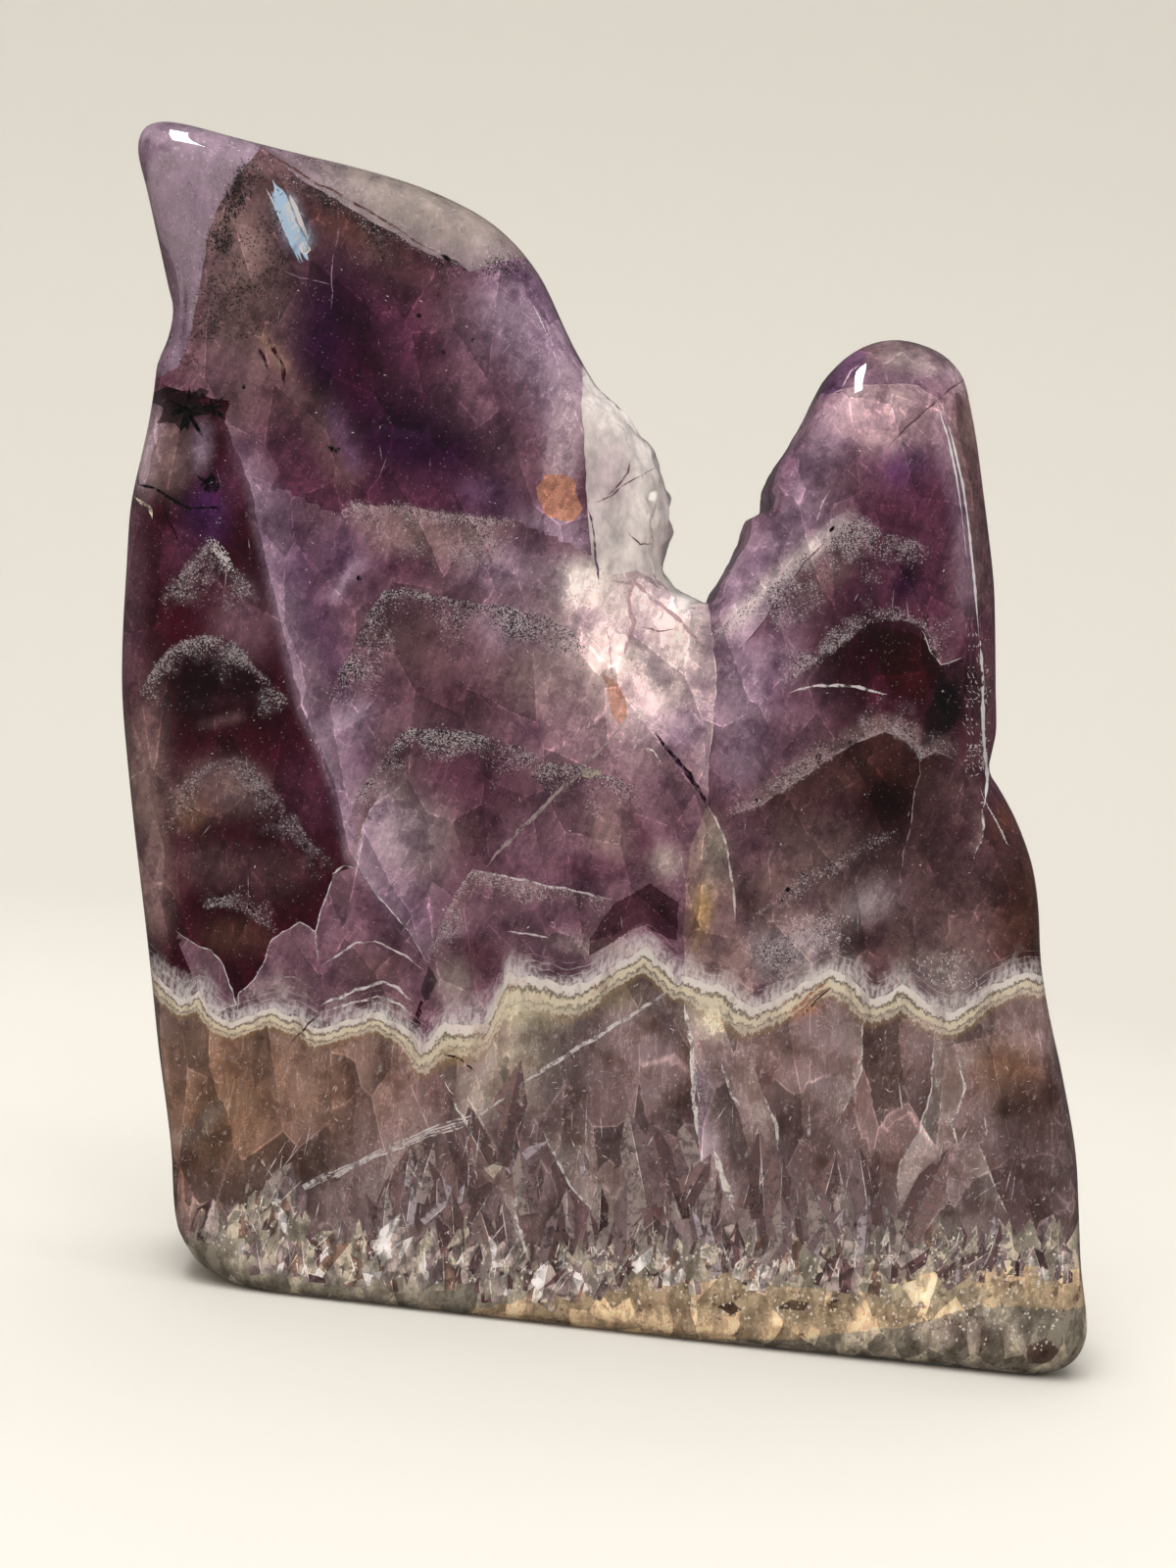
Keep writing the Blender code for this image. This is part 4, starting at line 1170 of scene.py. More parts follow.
def under_quartz(red, green, blue):
    """The lightness of the stone that gives this colour when it is seen through the quartz."""
    seen = np.maximum(light_of(red, green, blue) - LEAST_SEEN, 0)
    lightness = (np.sqrt(LET_OUT**2 + 4 * SENT_BACK * seen) - LET_OUT) / (2 * SENT_BACK)
    return tuple(np.clip(lightness, 0.002, 0.95))


PALETTE = {name: under_quartz(*tone) for name, tone in TONES.items()}


# Shapes on the face of the stone, all in millimetres


def resampled(line, spacing):
    """Points along an open line, spacing apart or a little less, its own corners kept."""
    line = np.asarray(line, float)
    points = [line[:1]]
    for start, end in zip(line, line[1:]):
        steps = max(1, math.ceil(np.linalg.norm(end - start) / spacing))
        shares = np.arange(1, steps + 1)[:, None] / steps
        points.append(start + shares * (end - start))
    return np.concatenate(points)


def fractal_at(points, across, along, seed, roughness, octaves, finer=2.1):
    """Noise at each point, with features of about those sizes across and along the stone.

    Each octave is finer than the one before it by a factor.
    """
    return np.array([
        noise.fractal(Vector((x / across, seed, z / along)), roughness, finer, octaves)
        for x, z in points
    ])


def wandering(line, amount=WANDER, size=WANDER_SIZE, seed=1.0):
    """A line with small natural wander across it, its ends left in place."""
    points = resampled(line, FINE_SPACING)
    moved = points.copy()
    for i, (x, z) in enumerate(points[1:-1], 1):
        sway = noise.noise_vector(Vector((x / size, z / size, seed)))
        finer = noise.noise_vector(Vector((x / size * 3, z / size * 3, seed)))
        moved[i] += amount * np.array([sway.x + 0.4 * finer.x, sway.z + 0.4 * finer.z])
    return moved


def looped(outline):
    """A closed outline with small natural wander, its first point again at its end."""
    return wandering(list(outline) + [outline[0]], size=LOOP_WANDER_SIZE, seed=5.0)


def uneven(line, amount, size, seed):
    """A line that runs from left to right, with its points moved up and down a little."""
    points = resampled(line, FINE_SPACING)
    points = points[np.concatenate([[True], np.diff(points[:, 0]) > 0.02])]
    points[:, 1] += amount * fractal_at(points, size, size, seed, 0.7, 4)
    return points


def toothed(line, seed):
    """A line that runs from left to right, broken into the points of small crystals."""
    line = np.asarray(line, float)
    rng = random.Random(seed)
    points = []
    x, up = line[0, 0], False
    while x < line[-1, 0]:
        height = rng.uniform(0.1, 1.7) if up else -rng.uniform(0.1, 1.1)
        points.append((x, np.interp(x, line[:, 0], line[:, 1]) + height))
        x += rng.uniform(0.35, 1.15)
        up = not up
    return np.array(points + [tuple(line[-1])])


def distance_to(points, line, reach=1000.0):
    """Distance from each point to an open line, how far along it that is, and on which side.

    Points further than reach from the line's box are left at an endless distance.
    """
    line = np.asarray(line, float)
    best = np.full(len(points), np.inf)
    along = np.zeros(len(points))
    side = np.zeros(len(points))
    near = np.all((points > line.min(0) - reach) & (points < line.max(0) + reach), axis=1)
    held = points[near]
    best_held = np.full(len(held), np.inf)
    along_held = np.zeros(len(held))
    side_held = np.zeros(len(held))
    lengths = np.linalg.norm(np.diff(line, axis=0), axis=1)
    starts = np.concatenate([[0], np.cumsum(lengths)[:-1]])
    for start, end, length, begun in zip(line, line[1:], lengths, starts):
        way = (end - start) / max(length, 1e-9)
        offset = held - start
        progress = np.clip(offset @ way, 0, length)
        gap = offset - progress[:, None] * way
        distance = np.hypot(gap[:, 0], gap[:, 1])
        nearer = distance < best_held
        best_held[nearer] = distance[nearer]
        along_held[nearer] = ((begun + progress) / lengths.sum())[nearer]
        cross = way[0] * offset[:, 1] - way[1] * offset[:, 0]
        side_held[nearer] = np.sign(cross)[nearer]
    best[near], along[near], side[near] = best_held, along_held, side_held
    return best, along, side


def inside(points, polygon):
    """True for each point that lies in a closed polygon."""
    polygon = np.asarray(polygon, float)
    held = np.zeros(len(points), bool)
    for (x0, z0), (x1, z1) in zip(polygon, np.roll(polygon, -1, 0)):
        if z0 == z1:
            continue
        crosses = (points[:, 1] > z0) != (points[:, 1] > z1)
        reach = x0 + (points[:, 1] - z0) * (x1 - x0) / (z1 - z0)
        held ^= crosses & (points[:, 0] < reach)
    return held


def level_of(points, line):
    """Height of each point over a line that runs from left to right."""
    return points[:, 1] - np.interp(points[:, 0], line[:, 0], line[:, 1])


def well_inside(points, border, gap):
    """True for each point that lies in a closed border, further than gap from it."""
    return inside(points, border) & (distance_to(points, joined(border, border[:1]))[0] > gap)


def joined(*lines):
    return np.concatenate([np.asarray(line, float) for line in lines])


LOOP = joined(OUTLINE, OUTLINE[:1])
BAND_TOP = uneven(BAND, 0.3, 1.1, 7.0)
CRUST_EDGE = toothed(CRUST_TOP, 3)
MATRIX_EDGE = uneven(MATRIX_TOP, 0.35, 1.1, 9.0)
LENS_EDGE = uneven(MATRIX_BOTTOM, 0.2, 1.4, 5.0)
REGIONS = [
    ("peak", joined(
        [(-45.0, 70.0), (-40.0, 69.4), (-33.5, 68.6), (-30.6, 63.0), (-23.0, 60.6)],
        wandering(TOP_ARC),
        [(-5.0, 60.4), (-3.2, 59.6), (8.0, 70.0), (-5.0, 95.0), (-45.0, 95.0)],
    )),
    ("left", joined(
        [(-45.0, 70.0), (-40.0, 69.4)], wandering(PALE_BOUNDARY), [(-12.4, 20.0), (-45.0, 20.0)],
    )),
    ("right", joined(
        wandering(BETWEEN_PEAKS), wandering(COLUMN_RIGHT),
        [(13.3, 20.0), (45.0, 20.0), (45.0, 90.0), (6.0, 90.0)],
    )),
    ("column", joined(
        wandering(COLUMN_LEFT), [(7.7, 24.0), (13.3, 24.0)], wandering(COLUMN_RIGHT)[::-1],
    )),
    ("shard", wandering(SHARD_LEFT)),
    ("shard", wandering(SHARD_MIDDLE)),
    ("shard", wandering(SHARD_TALL)),
    ("cap", joined(
        wandering(PHANTOM_RIGHT),
        [(-4.0, 84.0), (-12.0, 95.0), (-50.0, 95.0), (-50.0, 69.2)],
        wandering(CAP_LOWER_LEFT)[::-1], wandering(PHANTOM_LEFT)[::-1],
    )),
    ("window", joined(wandering(WINDOW_EDGE), [(5.8, 57.3), (6.5, 70.0), (4.0, 76.0), (-3.0, 78.0)])),
]


def part_of(points):
    """The number of the part of the stone that holds each point."""
    number = np.full(len(points), PART_NAMES.index("middle"))
    for name, polygon in REGIONS:
        number[inside(points, polygon)] = PART_NAMES.index(name)
    for name, line in (
        ("under", BAND_TOP), ("crust", CRUST_EDGE), ("matrix", MATRIX_EDGE), ("lens", LENS_EDGE),
    ):
        number[level_of(points, line) < 0] = PART_NAMES.index(name)
    return number


def blend(colours, tone, share):
    """Colours with a share of a tone mixed in."""
    return colours * (1 - share[:, None]) + np.array(PALETTE[tone]) * share[:, None]


def ends_faded(along, steepness):
    """A share that falls from 1 to 0 towards both ends of a line."""
    return np.clip(np.minimum(along, 1 - along) * steepness, 0, 1)


def stone_colours(points, number):
    """The colour at each point: its part's, under clouds, planes, soft bands and shades."""
    colours = np.array([PALETTE[PARTS[name]] for name in PART_NAMES])[number]
    for part, clouds in CLOUDS.items():
        own = number == PART_NAMES.index(part)
        for x, z, across, along, lean, tone, strength in clouds:
            near = np.hypot(points[:, 0] - x, points[:, 1] - z) < 2.2 * max(across, along)
            held = np.flatnonzero(own & near)
            turn = math.radians(lean)
            offset = points[held] - np.array([x, z])
            aside = offset[:, 0] * math.cos(turn) + offset[:, 1] * math.sin(turn)
            upward = offset[:, 1] * math.cos(turn) - offset[:, 0] * math.sin(turn)
            spread = (aside / across) ** 2 + (upward / along) ** 2
            colours[held] = blend(colours[held], tone, strength * np.exp(-(spread**1.3)))
    for line, side, reach, tone, strength in FACETS:
        distance, along, turned = distance_to(points, wandering(line), reach)
        share = np.clip(1 - distance / reach, 0, 1) ** 0.8 * (turned == side)
        colours = blend(colours, tone, strength * share * ends_faded(along, 6))
    for line, half_width, tone, strength in STROKES:
        distance, along, _ = distance_to(points, line, 3 * half_width)
        share = np.exp(-((distance / half_width) ** 2)) * ends_faded(along, 5)
        colours = blend(colours, tone, strength * share)
    for outline, tone, strength in TINTS:
        colours = blend(colours, tone, strength * inside(points, looped(outline)))
    for line, *_, shade, depth in PHANTOMS:
        if shade:
            distance, along, side = distance_to(points, wandering(line), 2 * depth)
            share = (side <= 0) * ends_faded(along, 8) * np.exp(-((distance / depth) ** 2))
            colours = colours * (1 - shade * share[:, None])
    return colours


def grain_weights(points):
    """White grains, dark grains and haze at each point, from the phantoms near it."""
    weights = np.zeros((len(points), 3))
    for line, over, under, *grains, _, _ in PHANTOMS:
        distance, along, side = distance_to(points, wandering(line), 4.0)
        held = np.flatnonzero(distance < 2.4 * max(over, under))
        swell = np.clip(1 + 1.6 * fractal_at(points[held], 3.5, 3.5, 3.1, 0.6, 3), 0.3, 2.0)
        reach = np.where(side > 0, over, 1.2 * under)[held] * swell
        near = np.clip(1 - distance[held] / reach, 0, 1) ** 0.9 * ends_faded(along[held], 8)
        weights[held] = np.maximum(weights[held], near[:, None] * np.array(grains))
    held = np.flatnonzero(weights.max(1) > 0)
    worn = fractal_at(points[held], 2.2, 2.2, 0.5, 0.6, 3)
    weights[held] *= np.clip(0.85 + 1.1 * worn, 0.2, 1.3)[:, None]
    return weights


def band_level(points):
    """Height over the band's top: in millimetres over it, as a share of the band under it."""
    upward = level_of(points, BAND_TOP)
    height = (distance_to(points, BAND_TOP, 6.0)[0] * np.sign(upward) + upward) / 2
    places, thicknesses = zip(*BAND_THICKNESS)
    thickness = np.interp(points[:, 0], places, thicknesses)
    return np.clip(np.where(height > 0, height, height / thickness), -9, 9)


def rim_drop(room, points):
    """How far the skin's front has dropped back at a distance from the outline."""
    _, along, _ = distance_to(points, LOOP)
    lengths = np.linalg.norm(np.diff(LOOP, axis=0), axis=1)
    places = np.concatenate([[0], np.cumsum(lengths)]) / lengths.sum()
    finish = np.concatenate([FINISHES, FINISHES[:1]])
    width, depth, flatness = (np.interp(along, places, finish[:, i]) for i in range(3))
    out = np.clip(1 - room / width, 0, 1)
    return depth * ((1 - np.sqrt(1 - out**2)) * (1 - flatness) + out * flatness)


def facets(points, across, along, tilt, seed):
    """Flat facets at slightly different tilts, as broken and grown faces inside quartz are."""
    size = np.array([across, along])
    place = (points - OUTLINE.min(0)) / size + 4
    cell = np.floor(place).astype(int)
    rng = np.random.default_rng(seed)
    shape = tuple(np.ceil(np.ptp(OUTLINE, axis=0) / size).astype(int) + 8)
    centres = rng.uniform(0, 1, (*shape, 2))
    slopes = rng.uniform(-1, 1, (*shape, 2)) * np.array([1, across / along])
    nearest = np.full(len(points), np.inf)
    height = np.zeros(len(points))
    for i in (-1, 0, 1):
        for j in (-1, 0, 1):
            column, row = cell[:, 0] + i, cell[:, 1] + j
            offset = place - np.column_stack([column, row]) - centres[column, row]
            gap = (offset**2).sum(1)
            tilted = (offset * size * slopes[column, row]).sum(1)
            height = np.where(gap < nearest, tilted, height)
            nearest = np.minimum(gap, nearest)
    return tilt * height


def side_inset(points):
    """How far inside the outline the clouded body ends, less near the opaque base."""
    share = np.clip((points[:, 1] - 6) / 8, 0, 1)
    return CORE_BASE_INSET * (1 - share) + CORE_SIDE_INSET * share


def cloud_depth(points):
    """How far under the skin the clouded body begins at each point."""
    band = level_of(points, BAND_TOP)
    depth = CORE_DEPTH + np.clip(band / 3, 0, 1) * facets(points, 7.0, 11.0, 0.05, 11)
    depth += np.clip(-band / 2, 0, 1) * facets(points, 1.9, 10.0, 0.26, 23)
    depth += (BAND_DEPTH - CORE_DEPTH) * np.clip(1 - np.abs(band) / 2.4, 0, 1)
    low = np.clip(0.5 - level_of(points, CRUST_EDGE) / 0.8, 0, 1)
    rough = fractal_at(points, 0.9, 0.9, 3.0, 0.7, 4)
    druse = facets(points, 0.9, 1.2, 0.5, 31)
    depth = depth * (1 - low) + (BASE_DEPTH + 0.14 * rough + druse) * low
    ripple = fractal_at(points, 4, 6, 0, 0.7, 3, finer=2.0)
    return np.clip(depth + 0.08 * ripple, LEAST_DEPTH, MOST_DEPTH)


def core_half(points):
    """Half thickness of the clouded body at each point."""
    distance, _, _ = distance_to(points, LOOP)
    room = np.clip(distance - side_inset(points), 0, None)
    return half_thickness(points[:, 1]) - cloud_depth(points) - rim_drop(room, points)


def filled(border, lines, extra, tolerance):
    """Points and triangles that fill a closed border, every line along their edges."""
    points, edges = [border], [(i, (i + 1) % len(border)) for i in range(len(border))]
    count = len(border)
    for line in lines:
        points.append(line)
        edges += [(count + i, count + i + 1) for i in range(len(line) - 1)]
        count += len(line)
    flat = [Vector(point) for point in np.concatenate(points + [extra])]
    verts, _, faces, *_ = delaunay_2d_cdt(flat, edges, [], 0, tolerance)
    verts = np.array([tuple(v) for v in verts])
    faces = np.array([face for face in faces if len(face) == 3])
    faces = faces[inside(verts[faces].mean(1), border)]
    corner = verts[faces]
    first, second = corner[:, 1] - corner[:, 0], corner[:, 2] - corner[:, 0]
    flipped = first[:, 0] * second[:, 1] - first[:, 1] * second[:, 0] < 0
    faces[flipped] = faces[flipped][:, ::-1]
    return verts, faces


def only_used(faces):
    """The numbers of the points that the triangles use, and the triangles counted in these."""
    used, faces = np.unique(faces, return_inverse=True)
    return used, faces.reshape(-1, 3)


def grid_points(low, high, spacing):
    """Points in rows that are staggered, spacing apart."""
    rows = np.arange(low[1], high[1], spacing * 0.866)
    columns = np.arange(low[0], high[0], spacing)
    return np.array([(x + (j % 2) * spacing / 2, z) for j, z in enumerate(rows) for x in columns])


# Materials


class Paint:
    """Builds the nodes of one material, a call for each node."""

    def __init__(self, name, roughness=0.5, gloss=1.15):
        self.material = bpy.data.materials.new(name)
        self.material.use_nodes = True
        self.tree = self.material.node_tree
        self.tree.nodes.clear()
        self.output = self.tree.nodes.new("ShaderNodeOutputMaterial")
        self.shader = self.tree.nodes.new("ShaderNodeBsdfPrincipled")
        self.shader.inputs["Roughness"].default_value = roughness
        self.shader.inputs["IOR"].default_value = gloss
        self.link(self.shader.outputs[0], self.output.inputs["Surface"])

    def link(self, source, target):
        self.tree.links.new(source, target)

    def feed(self, socket, value):
        """Another node's output, a colour or a number into a socket."""
        if isinstance(value, bpy.types.NodeSocket):
            self.link(value, socket)
        elif isinstance(value, tuple) and len(value) == 3 and socket.type == "RGBA":
            socket.default_value = (*value, 1.0)
        else:
            socket.default_value = value

    def node(self, kind, inputs, **settings):
        """The outputs of a new node with these settings, its inputs fed by name or number."""
        node = self.tree.nodes.new(kind)
        for name, value in settings.items():
            setattr(node, name, value)
        for socket, value in inputs.items():
            self.feed(node.inputs[socket], value)
        return node.outputs

    def math(self, operation, *values):
        return self.node("ShaderNodeMath", dict(enumerate(values)), operation=operation)[0]

    def vector_math(self, operation, *values):
        outputs = self.node("ShaderNodeVectorMath", dict(enumerate(values)), operation=operation)
        return outputs["Value" if operation == "DOT_PRODUCT" else "Vector"]

    def position(self):
        """Where a point of the surface is, in the stone's millimetres."""
        place = self.node("ShaderNodeTexCoord", {})["Object"]
        return self.vector_math("MULTIPLY", place, (1 / MM,) * 3)

    def stretched(self, vector, degrees, scales):
        """Coordinates turned about the line through both faces, then scaled."""
        inputs = {"Vector": vector, "Angle": math.radians(degrees)}
        turned = self.node("ShaderNodeVectorRotate", inputs, rotation_type="Y_AXIS")[0]
        return self.vector_math("MULTIPLY", turned, scales)

    def attribute(self, name):
        return self.node("ShaderNodeAttribute", {}, attribute_name=name)["Color"]

    def parts(self, colour):
        return self.node("ShaderNodeSeparateColor", {0: colour})[:3]

    def times(self, *values):
        product = values[0]
        for value in values[1:]:
            product = self.math("MULTIPLY", product, value)
        return product

    def noise(self, vector, scale, detail=2.0, roughness=0.5):
        inputs = {"Vector": vector, "Scale": scale, "Detail": detail, "Roughness": roughness}
        return self.node("ShaderNodeTexNoise", inputs)["Fac"]

    def cells(self, vector, scale, feature="F1"):
        """Cells, a scale of them per millimetre."""
        inputs = {"Vector": vector, "Scale": scale}
        return self.node("ShaderNodeTexVoronoi", inputs, feature=feature)

    def seams(self, vector, scale, width, brightness):
        """Thin bright lines along the edges of the cells that planes makes: a factor for a colour."""
        distance = self.cells(vector, scale, "DISTANCE_TO_EDGE")["Distance"]
        return self.between(distance, 0.0, width, brightness, 1.0)

    def sand(self, vector, scale):
        """A different value, from 0 to 1, for each of many small cells."""
        return self.parts(self.cells(vector, scale)["Color"])[0]

    def planes(self, vector, scale):
        """Cells that each grow lighter one way: about 0 to 1."""
        cells = self.cells(vector, scale)
        offset = self.vector_math("SUBTRACT", vector, cells["Position"])
        way = self.vector_math("MULTIPLY_ADD", cells["Color"], (2.0,) * 3, (-1.0,) * 3)
        return self.math("MULTIPLY_ADD", self.vector_math("DOT_PRODUCT", offset, way), scale, 0.5)

    def between(self, value, low, high, to_low=0.0, to_high=1.0, smooth=True):
        """to_low where value is at or under low, to_high where it is at or over high."""
        names = ("Value", "From Min", "From Max", "To Min", "To Max")
        inputs = dict(zip(names, (value, low, high, to_low, to_high)))
        kind = "SMOOTHSTEP" if smooth else "LINEAR"
        return self.node("ShaderNodeMapRange", inputs, interpolation_type=kind)[0]

    def mix(self, share, first, second, blend="MIX"):
        """Two colours mixed: a mix node's colours are its sockets 6 and 7, its result is 2."""
        inputs = {0: share, 6: first, 7: second}
        return self.node("ShaderNodeMix", inputs, data_type="RGBA", blend_type=blend)[2]

    def lit(self, colour, factor):
        """A colour made lighter or darker by a factor."""
        return self.mix(1.0, colour, factor, "MULTIPLY")

    def over(self, colour, tone, *shares):
        """A colour with a tone laid over it, as much as the product of the shares."""
        return self.mix(self.times(*shares), colour, PALETTE[tone])

    def toned(self, colour, value, darkest, lightest):
        """A colour made darker and lighter by noise."""
        return self.lit(colour, self.between(value, 0.3, 0.7, darkest, lightest, smooth=False))

    def tinted(self, colour, value, deep, pale):
        """A colour multiplied by deep where noise is low, and by pale where it is high."""
        share = self.between(value, 0.32, 0.68, smooth=False)
        return self.lit(colour, self.mix(share, deep, pale))

    def veined(self, colour, value, level, width, brightness):
        """A colour crossed by thin brighter veils, which follow one level of a noise."""
        gap = self.math("ABSOLUTE", self.math("SUBTRACT", value, level))
        return self.lit(colour, self.between(gap, 0.0, width, brightness, 1.0))

    def finish(self, colour):
        self.feed(self.shader.inputs["Base Color"], colour)
        return self.material

    def bump(self, height, strength, distance):
        inputs = {"Height": height, "Strength": strength, "Distance": distance}
        self.link(self.node("ShaderNodeBump", inputs)[0], self.shader.inputs["Normal"])


def quartz_material():
    """Clear quartz with a faint violet that deepens with thickness."""
    paint = Paint("clear_quartz", SKIN_ROUGHNESS, QUARTZ_IOR)
    paint.shader.inputs["Transmission Weight"].default_value = 1.0
    absorption = paint.tree.nodes.new("ShaderNodeVolumeAbsorption")
    absorption.inputs["Color"].default_value = (*SKIN_ABSORPTION, 1.0)
    absorption.inputs["Density"].default_value = SKIN_ABSORPTION_DENSITY
    paint.link(absorption.outputs[0], paint.output.inputs["Volume"])
    return paint.finish((1.0, 1.0, 1.0))


def crystal_material():
    """The clouded purple crystals over the band, with dusty phantoms and the band's fringe."""
    paint = Paint("clouded_crystals", 0.45)
    spot = paint.position()
    white, dark, haze = paint.parts(paint.attribute("grains"))
    band, _, _ = paint.parts(paint.attribute("levels"))
    soft = paint.noise(spot, 0.3, 8.0, 0.66)
    grown = paint.stretched(spot, 24, (1.0, 1.0, 0.45))
    planes = paint.planes(grown, 0.26)
    colour = paint.tinted(paint.attribute("cloud"), soft, (0.50, 0.43, 0.52), (1.52, 1.62, 1.50))
    colour = paint.toned(colour, planes, 0.74, 1.24)
    streaks = paint.noise(paint.stretched(spot, -14, (1.6, 1.6, 0.4)), 1.0, 5.0, 0.75)
    colour = paint.toned(colour, streaks, 0.7, 1.3)
    bright = paint.between(streaks, 0.46, 0.6, 1.0, 2.1)
    colour = paint.lit(colour, paint.seams(grown, 0.26, 0.016, bright))
    colour = paint.veined(colour, soft, 0.5, 0.012, 1.6)
    for lean, level in ((50, 0.6), (-38, 0.62)):
        wisps = paint.noise(paint.stretched(spot, lean, (2.4, 2.4, 0.3)), 1.0, 5.0, 0.75)
        colour = paint.lit(colour, paint.between(wisps, level, level + 0.12, 1.0, 2.0))
    veil = paint.noise(spot, 1.5, 6.0, 0.85)
    colour = paint.toned(colour, veil, 0.66, 1.34)
    colour = paint.over(colour, "silver", haze, paint.between(veil, 0.38, 0.62), HAZE_STRENGTH)
    sand = paint.sand(spot, 12.0)
    shown = paint.between(paint.math("MULTIPLY_ADD", dark, 0.45, sand), 0.98, 1.02)
    colour = paint.over(colour, "black_plum", shown, DARK_GRAINS)
    shown = paint.between(paint.math("MULTIPLY_ADD", white, -0.4, sand), 0.02, -0.02)
    colour = paint.over(colour, "frost", shown, WHITE_GRAINS)
    fibres = paint.noise(paint.stretched(spot, 0, (3.4, 3.4, 0.9)), 1.0, 2.0, 0.7)
    reach = paint.between(soft, 0.36, 0.64, 0.6, 2.8)
    wave = paint.between(paint.math("PINGPONG", band, 0.24), 0.17, 0.24)
    growth = (wave, paint.between(band, 1.0, 2.2, 0.6, 0.0), paint.between(veil, 0.4, 0.6))
    colour = paint.over(colour, "frost", *growth)
    fringe = (paint.between(band, 0.0, reach, 1.0, 0.0), paint.between(fibres, 0.34, 0.62, 0.2, 1.0))
    return paint.finish(paint.over(colour, "frost", *fringe, FRINGE))


def column_material():
    """The smooth milky columns of quartz under the band, and the band itself."""
    paint = Paint("milky_columns", 0.4)
    spot = paint.position()
    band, _, _ = paint.parts(paint.attribute("levels"))
    soft = paint.noise(spot, 0.36, 8.0, 0.66)
    colour = paint.tinted(paint.attribute("cloud"), soft, (0.56, 0.49, 0.42), (1.32, 1.42, 1.42))
    streaks = paint.noise(paint.stretched(spot, 5, (1.0, 1.0, 0.2)), 0.9, 5.0, 0.66)
    colour = paint.toned(colour, streaks, 0.84, 1.16)
    grown = paint.stretched(spot, 12, (1.0, 1.0, 0.4))
    colour = paint.toned(colour, paint.planes(grown, 0.27), 0.62, 1.34)
    bright = paint.between(soft, 0.44, 0.58, 1.0, 2.0)
    colour = paint.lit(colour, paint.seams(grown, 0.27, 0.018, bright))
    colour = paint.veined(colour, soft, 0.5, 0.012, 1.6)
    colour = paint.veined(colour, streaks, 0.54, 0.012, 1.8)
    fine = paint.noise(paint.stretched(spot, -8, (1.0, 1.0, 0.55)), 2.6, 4.0, 0.78)
    colour = paint.over(colour, "frost", paint.between(fine, 0.56, 0.74), 0.5)
    colour = paint.over(colour, "brown", paint.between(fine, 0.44, 0.28), 0.4)
    worn = paint.math("MULTIPLY_ADD", fine, 0.9, paint.math("ADD", band, -0.45))
    fade = paint.between(streaks, 0.3, 0.5, 0.45, 1.0)
    for high, low, tone, strength in BAND_LAYERS:
        rise = paint.between(worn, low - LAYER_BLUR, low + LAYER_BLUR)
        fall = paint.between(worn, high - LAYER_BLUR, high + LAYER_BLUR, 1.0, 0.0)
        colour = paint.over(colour, tone, rise, fall, fade, strength)
    stain = (paint.between(soft, 0.54, 0.66), paint.between(band, -2.0, -0.9))
    return paint.finish(paint.over(colour, "rust", *stain, paint.between(fine, 0.35, 0.6), STAIN))


def rock_material():
    """The frosted crust of small points, and the host rock under it."""
    paint = Paint("crust_and_rock", 0.5)
    spot = paint.position()
    _, _, matrix = paint.parts(paint.attribute("levels"))
    frost = paint.noise(paint.stretched(spot, 0, (1.0, 1.0, 0.6)), 0.8, 7.0, 0.76)
    colour = paint.tinted(paint.attribute("cloud"), frost, (0.40, 0.36, 0.34), (1.52, 1.6, 1.6))
    points = paint.planes(paint.stretched(spot, 6, (1.0, 1.0, 0.5)), 0.42)
    colour = paint.toned(colour, points, 0.58, 1.4)
    colour = paint.veined(colour, frost, 0.55, 0.02, 1.6)
    pits = paint.between(paint.noise(spot, 0.9, 5.0, 0.8), 0.56, 0.64)
    rock = paint.between(matrix, -0.1, 0.1, 1.0, 0.25)
    colour = paint.over(colour, "brown", pits, rock, PITS)
    paint.bump(frost, 0.6, CRUST_BUMP)
    return paint.finish(colour)


def haze_material():
    """The thin cloud in the clear crystal tips, through which the far side shows."""
    paint = Paint("hazy_quartz")
    spot = paint.position()
    _, _, window = paint.parts(paint.attribute("levels"))
    soft = paint.noise(paint.stretched(spot, 10, (1.0, 1.0, 0.6)), 0.6, 5.0, 0.65)
    colour = paint.toned(paint.attribute("cloud"), soft, 0.72, 1.26)
    fine = paint.noise(spot, 3.6, 2.0, 0.6)
    colour = paint.over(colour, "milky", paint.between(fine, 0.6, 0.7), 0.5)
    thin = paint.between(soft, 0.3, 0.7, -0.12, 0.12, smooth=False)
    thickness = paint.between(window, 0.0, 1.0, HAZE_CAP, HAZE_WINDOW, smooth=False)
    paint.feed(paint.shader.inputs["Alpha"], paint.math("ADD", thin, thickness))
    return paint.finish(colour)


def inclusion_and_highlight_material():
    """Mineral flakes, flecks, painted glints and painted reflections, each in the tone its mesh carries."""
    paint = Paint("inclusions_and_highlights", 0.3, 1.3)
    return paint.finish(paint.attribute("cloud"))


def druse_material():
    """Frosted faces of small crystals, painted lit and shaded, uneven in tone, with a grainy sheen."""
    paint = Paint("druse", 0.3, 1.3)
    spot = paint.position()
    frost = paint.noise(paint.stretched(spot, 8, (1.0, 1.0, 0.5)), 1.1, 7.0, 0.8)
    colour = paint.tinted(paint.attribute("cloud"), frost, (0.45, 0.42, 0.40), (1.5, 1.55, 1.55))
    colour = paint.toned(colour, paint.planes(spot, 0.9), 0.6, 1.35)
    colour = paint.veined(colour, frost, 0.52, 0.02, 1.8)
    paint.bump(frost, 0.5, DRUSE_BUMP)
    return paint.finish(colour)


def fracture_material():
    """Thin fractures and the crystals' painted lit and shaded faces, which show more here and less there.
    """
    paint = Paint("fractures", 0.35)
    worn = paint.noise(paint.position(), 1.3, 4.0, 0.75)
    paint.feed(paint.shader.inputs["Alpha"], paint.between(worn, 0.36, 0.56, 0.15, 1.0))
    return paint.finish(paint.attribute("cloud"))


# The pieces


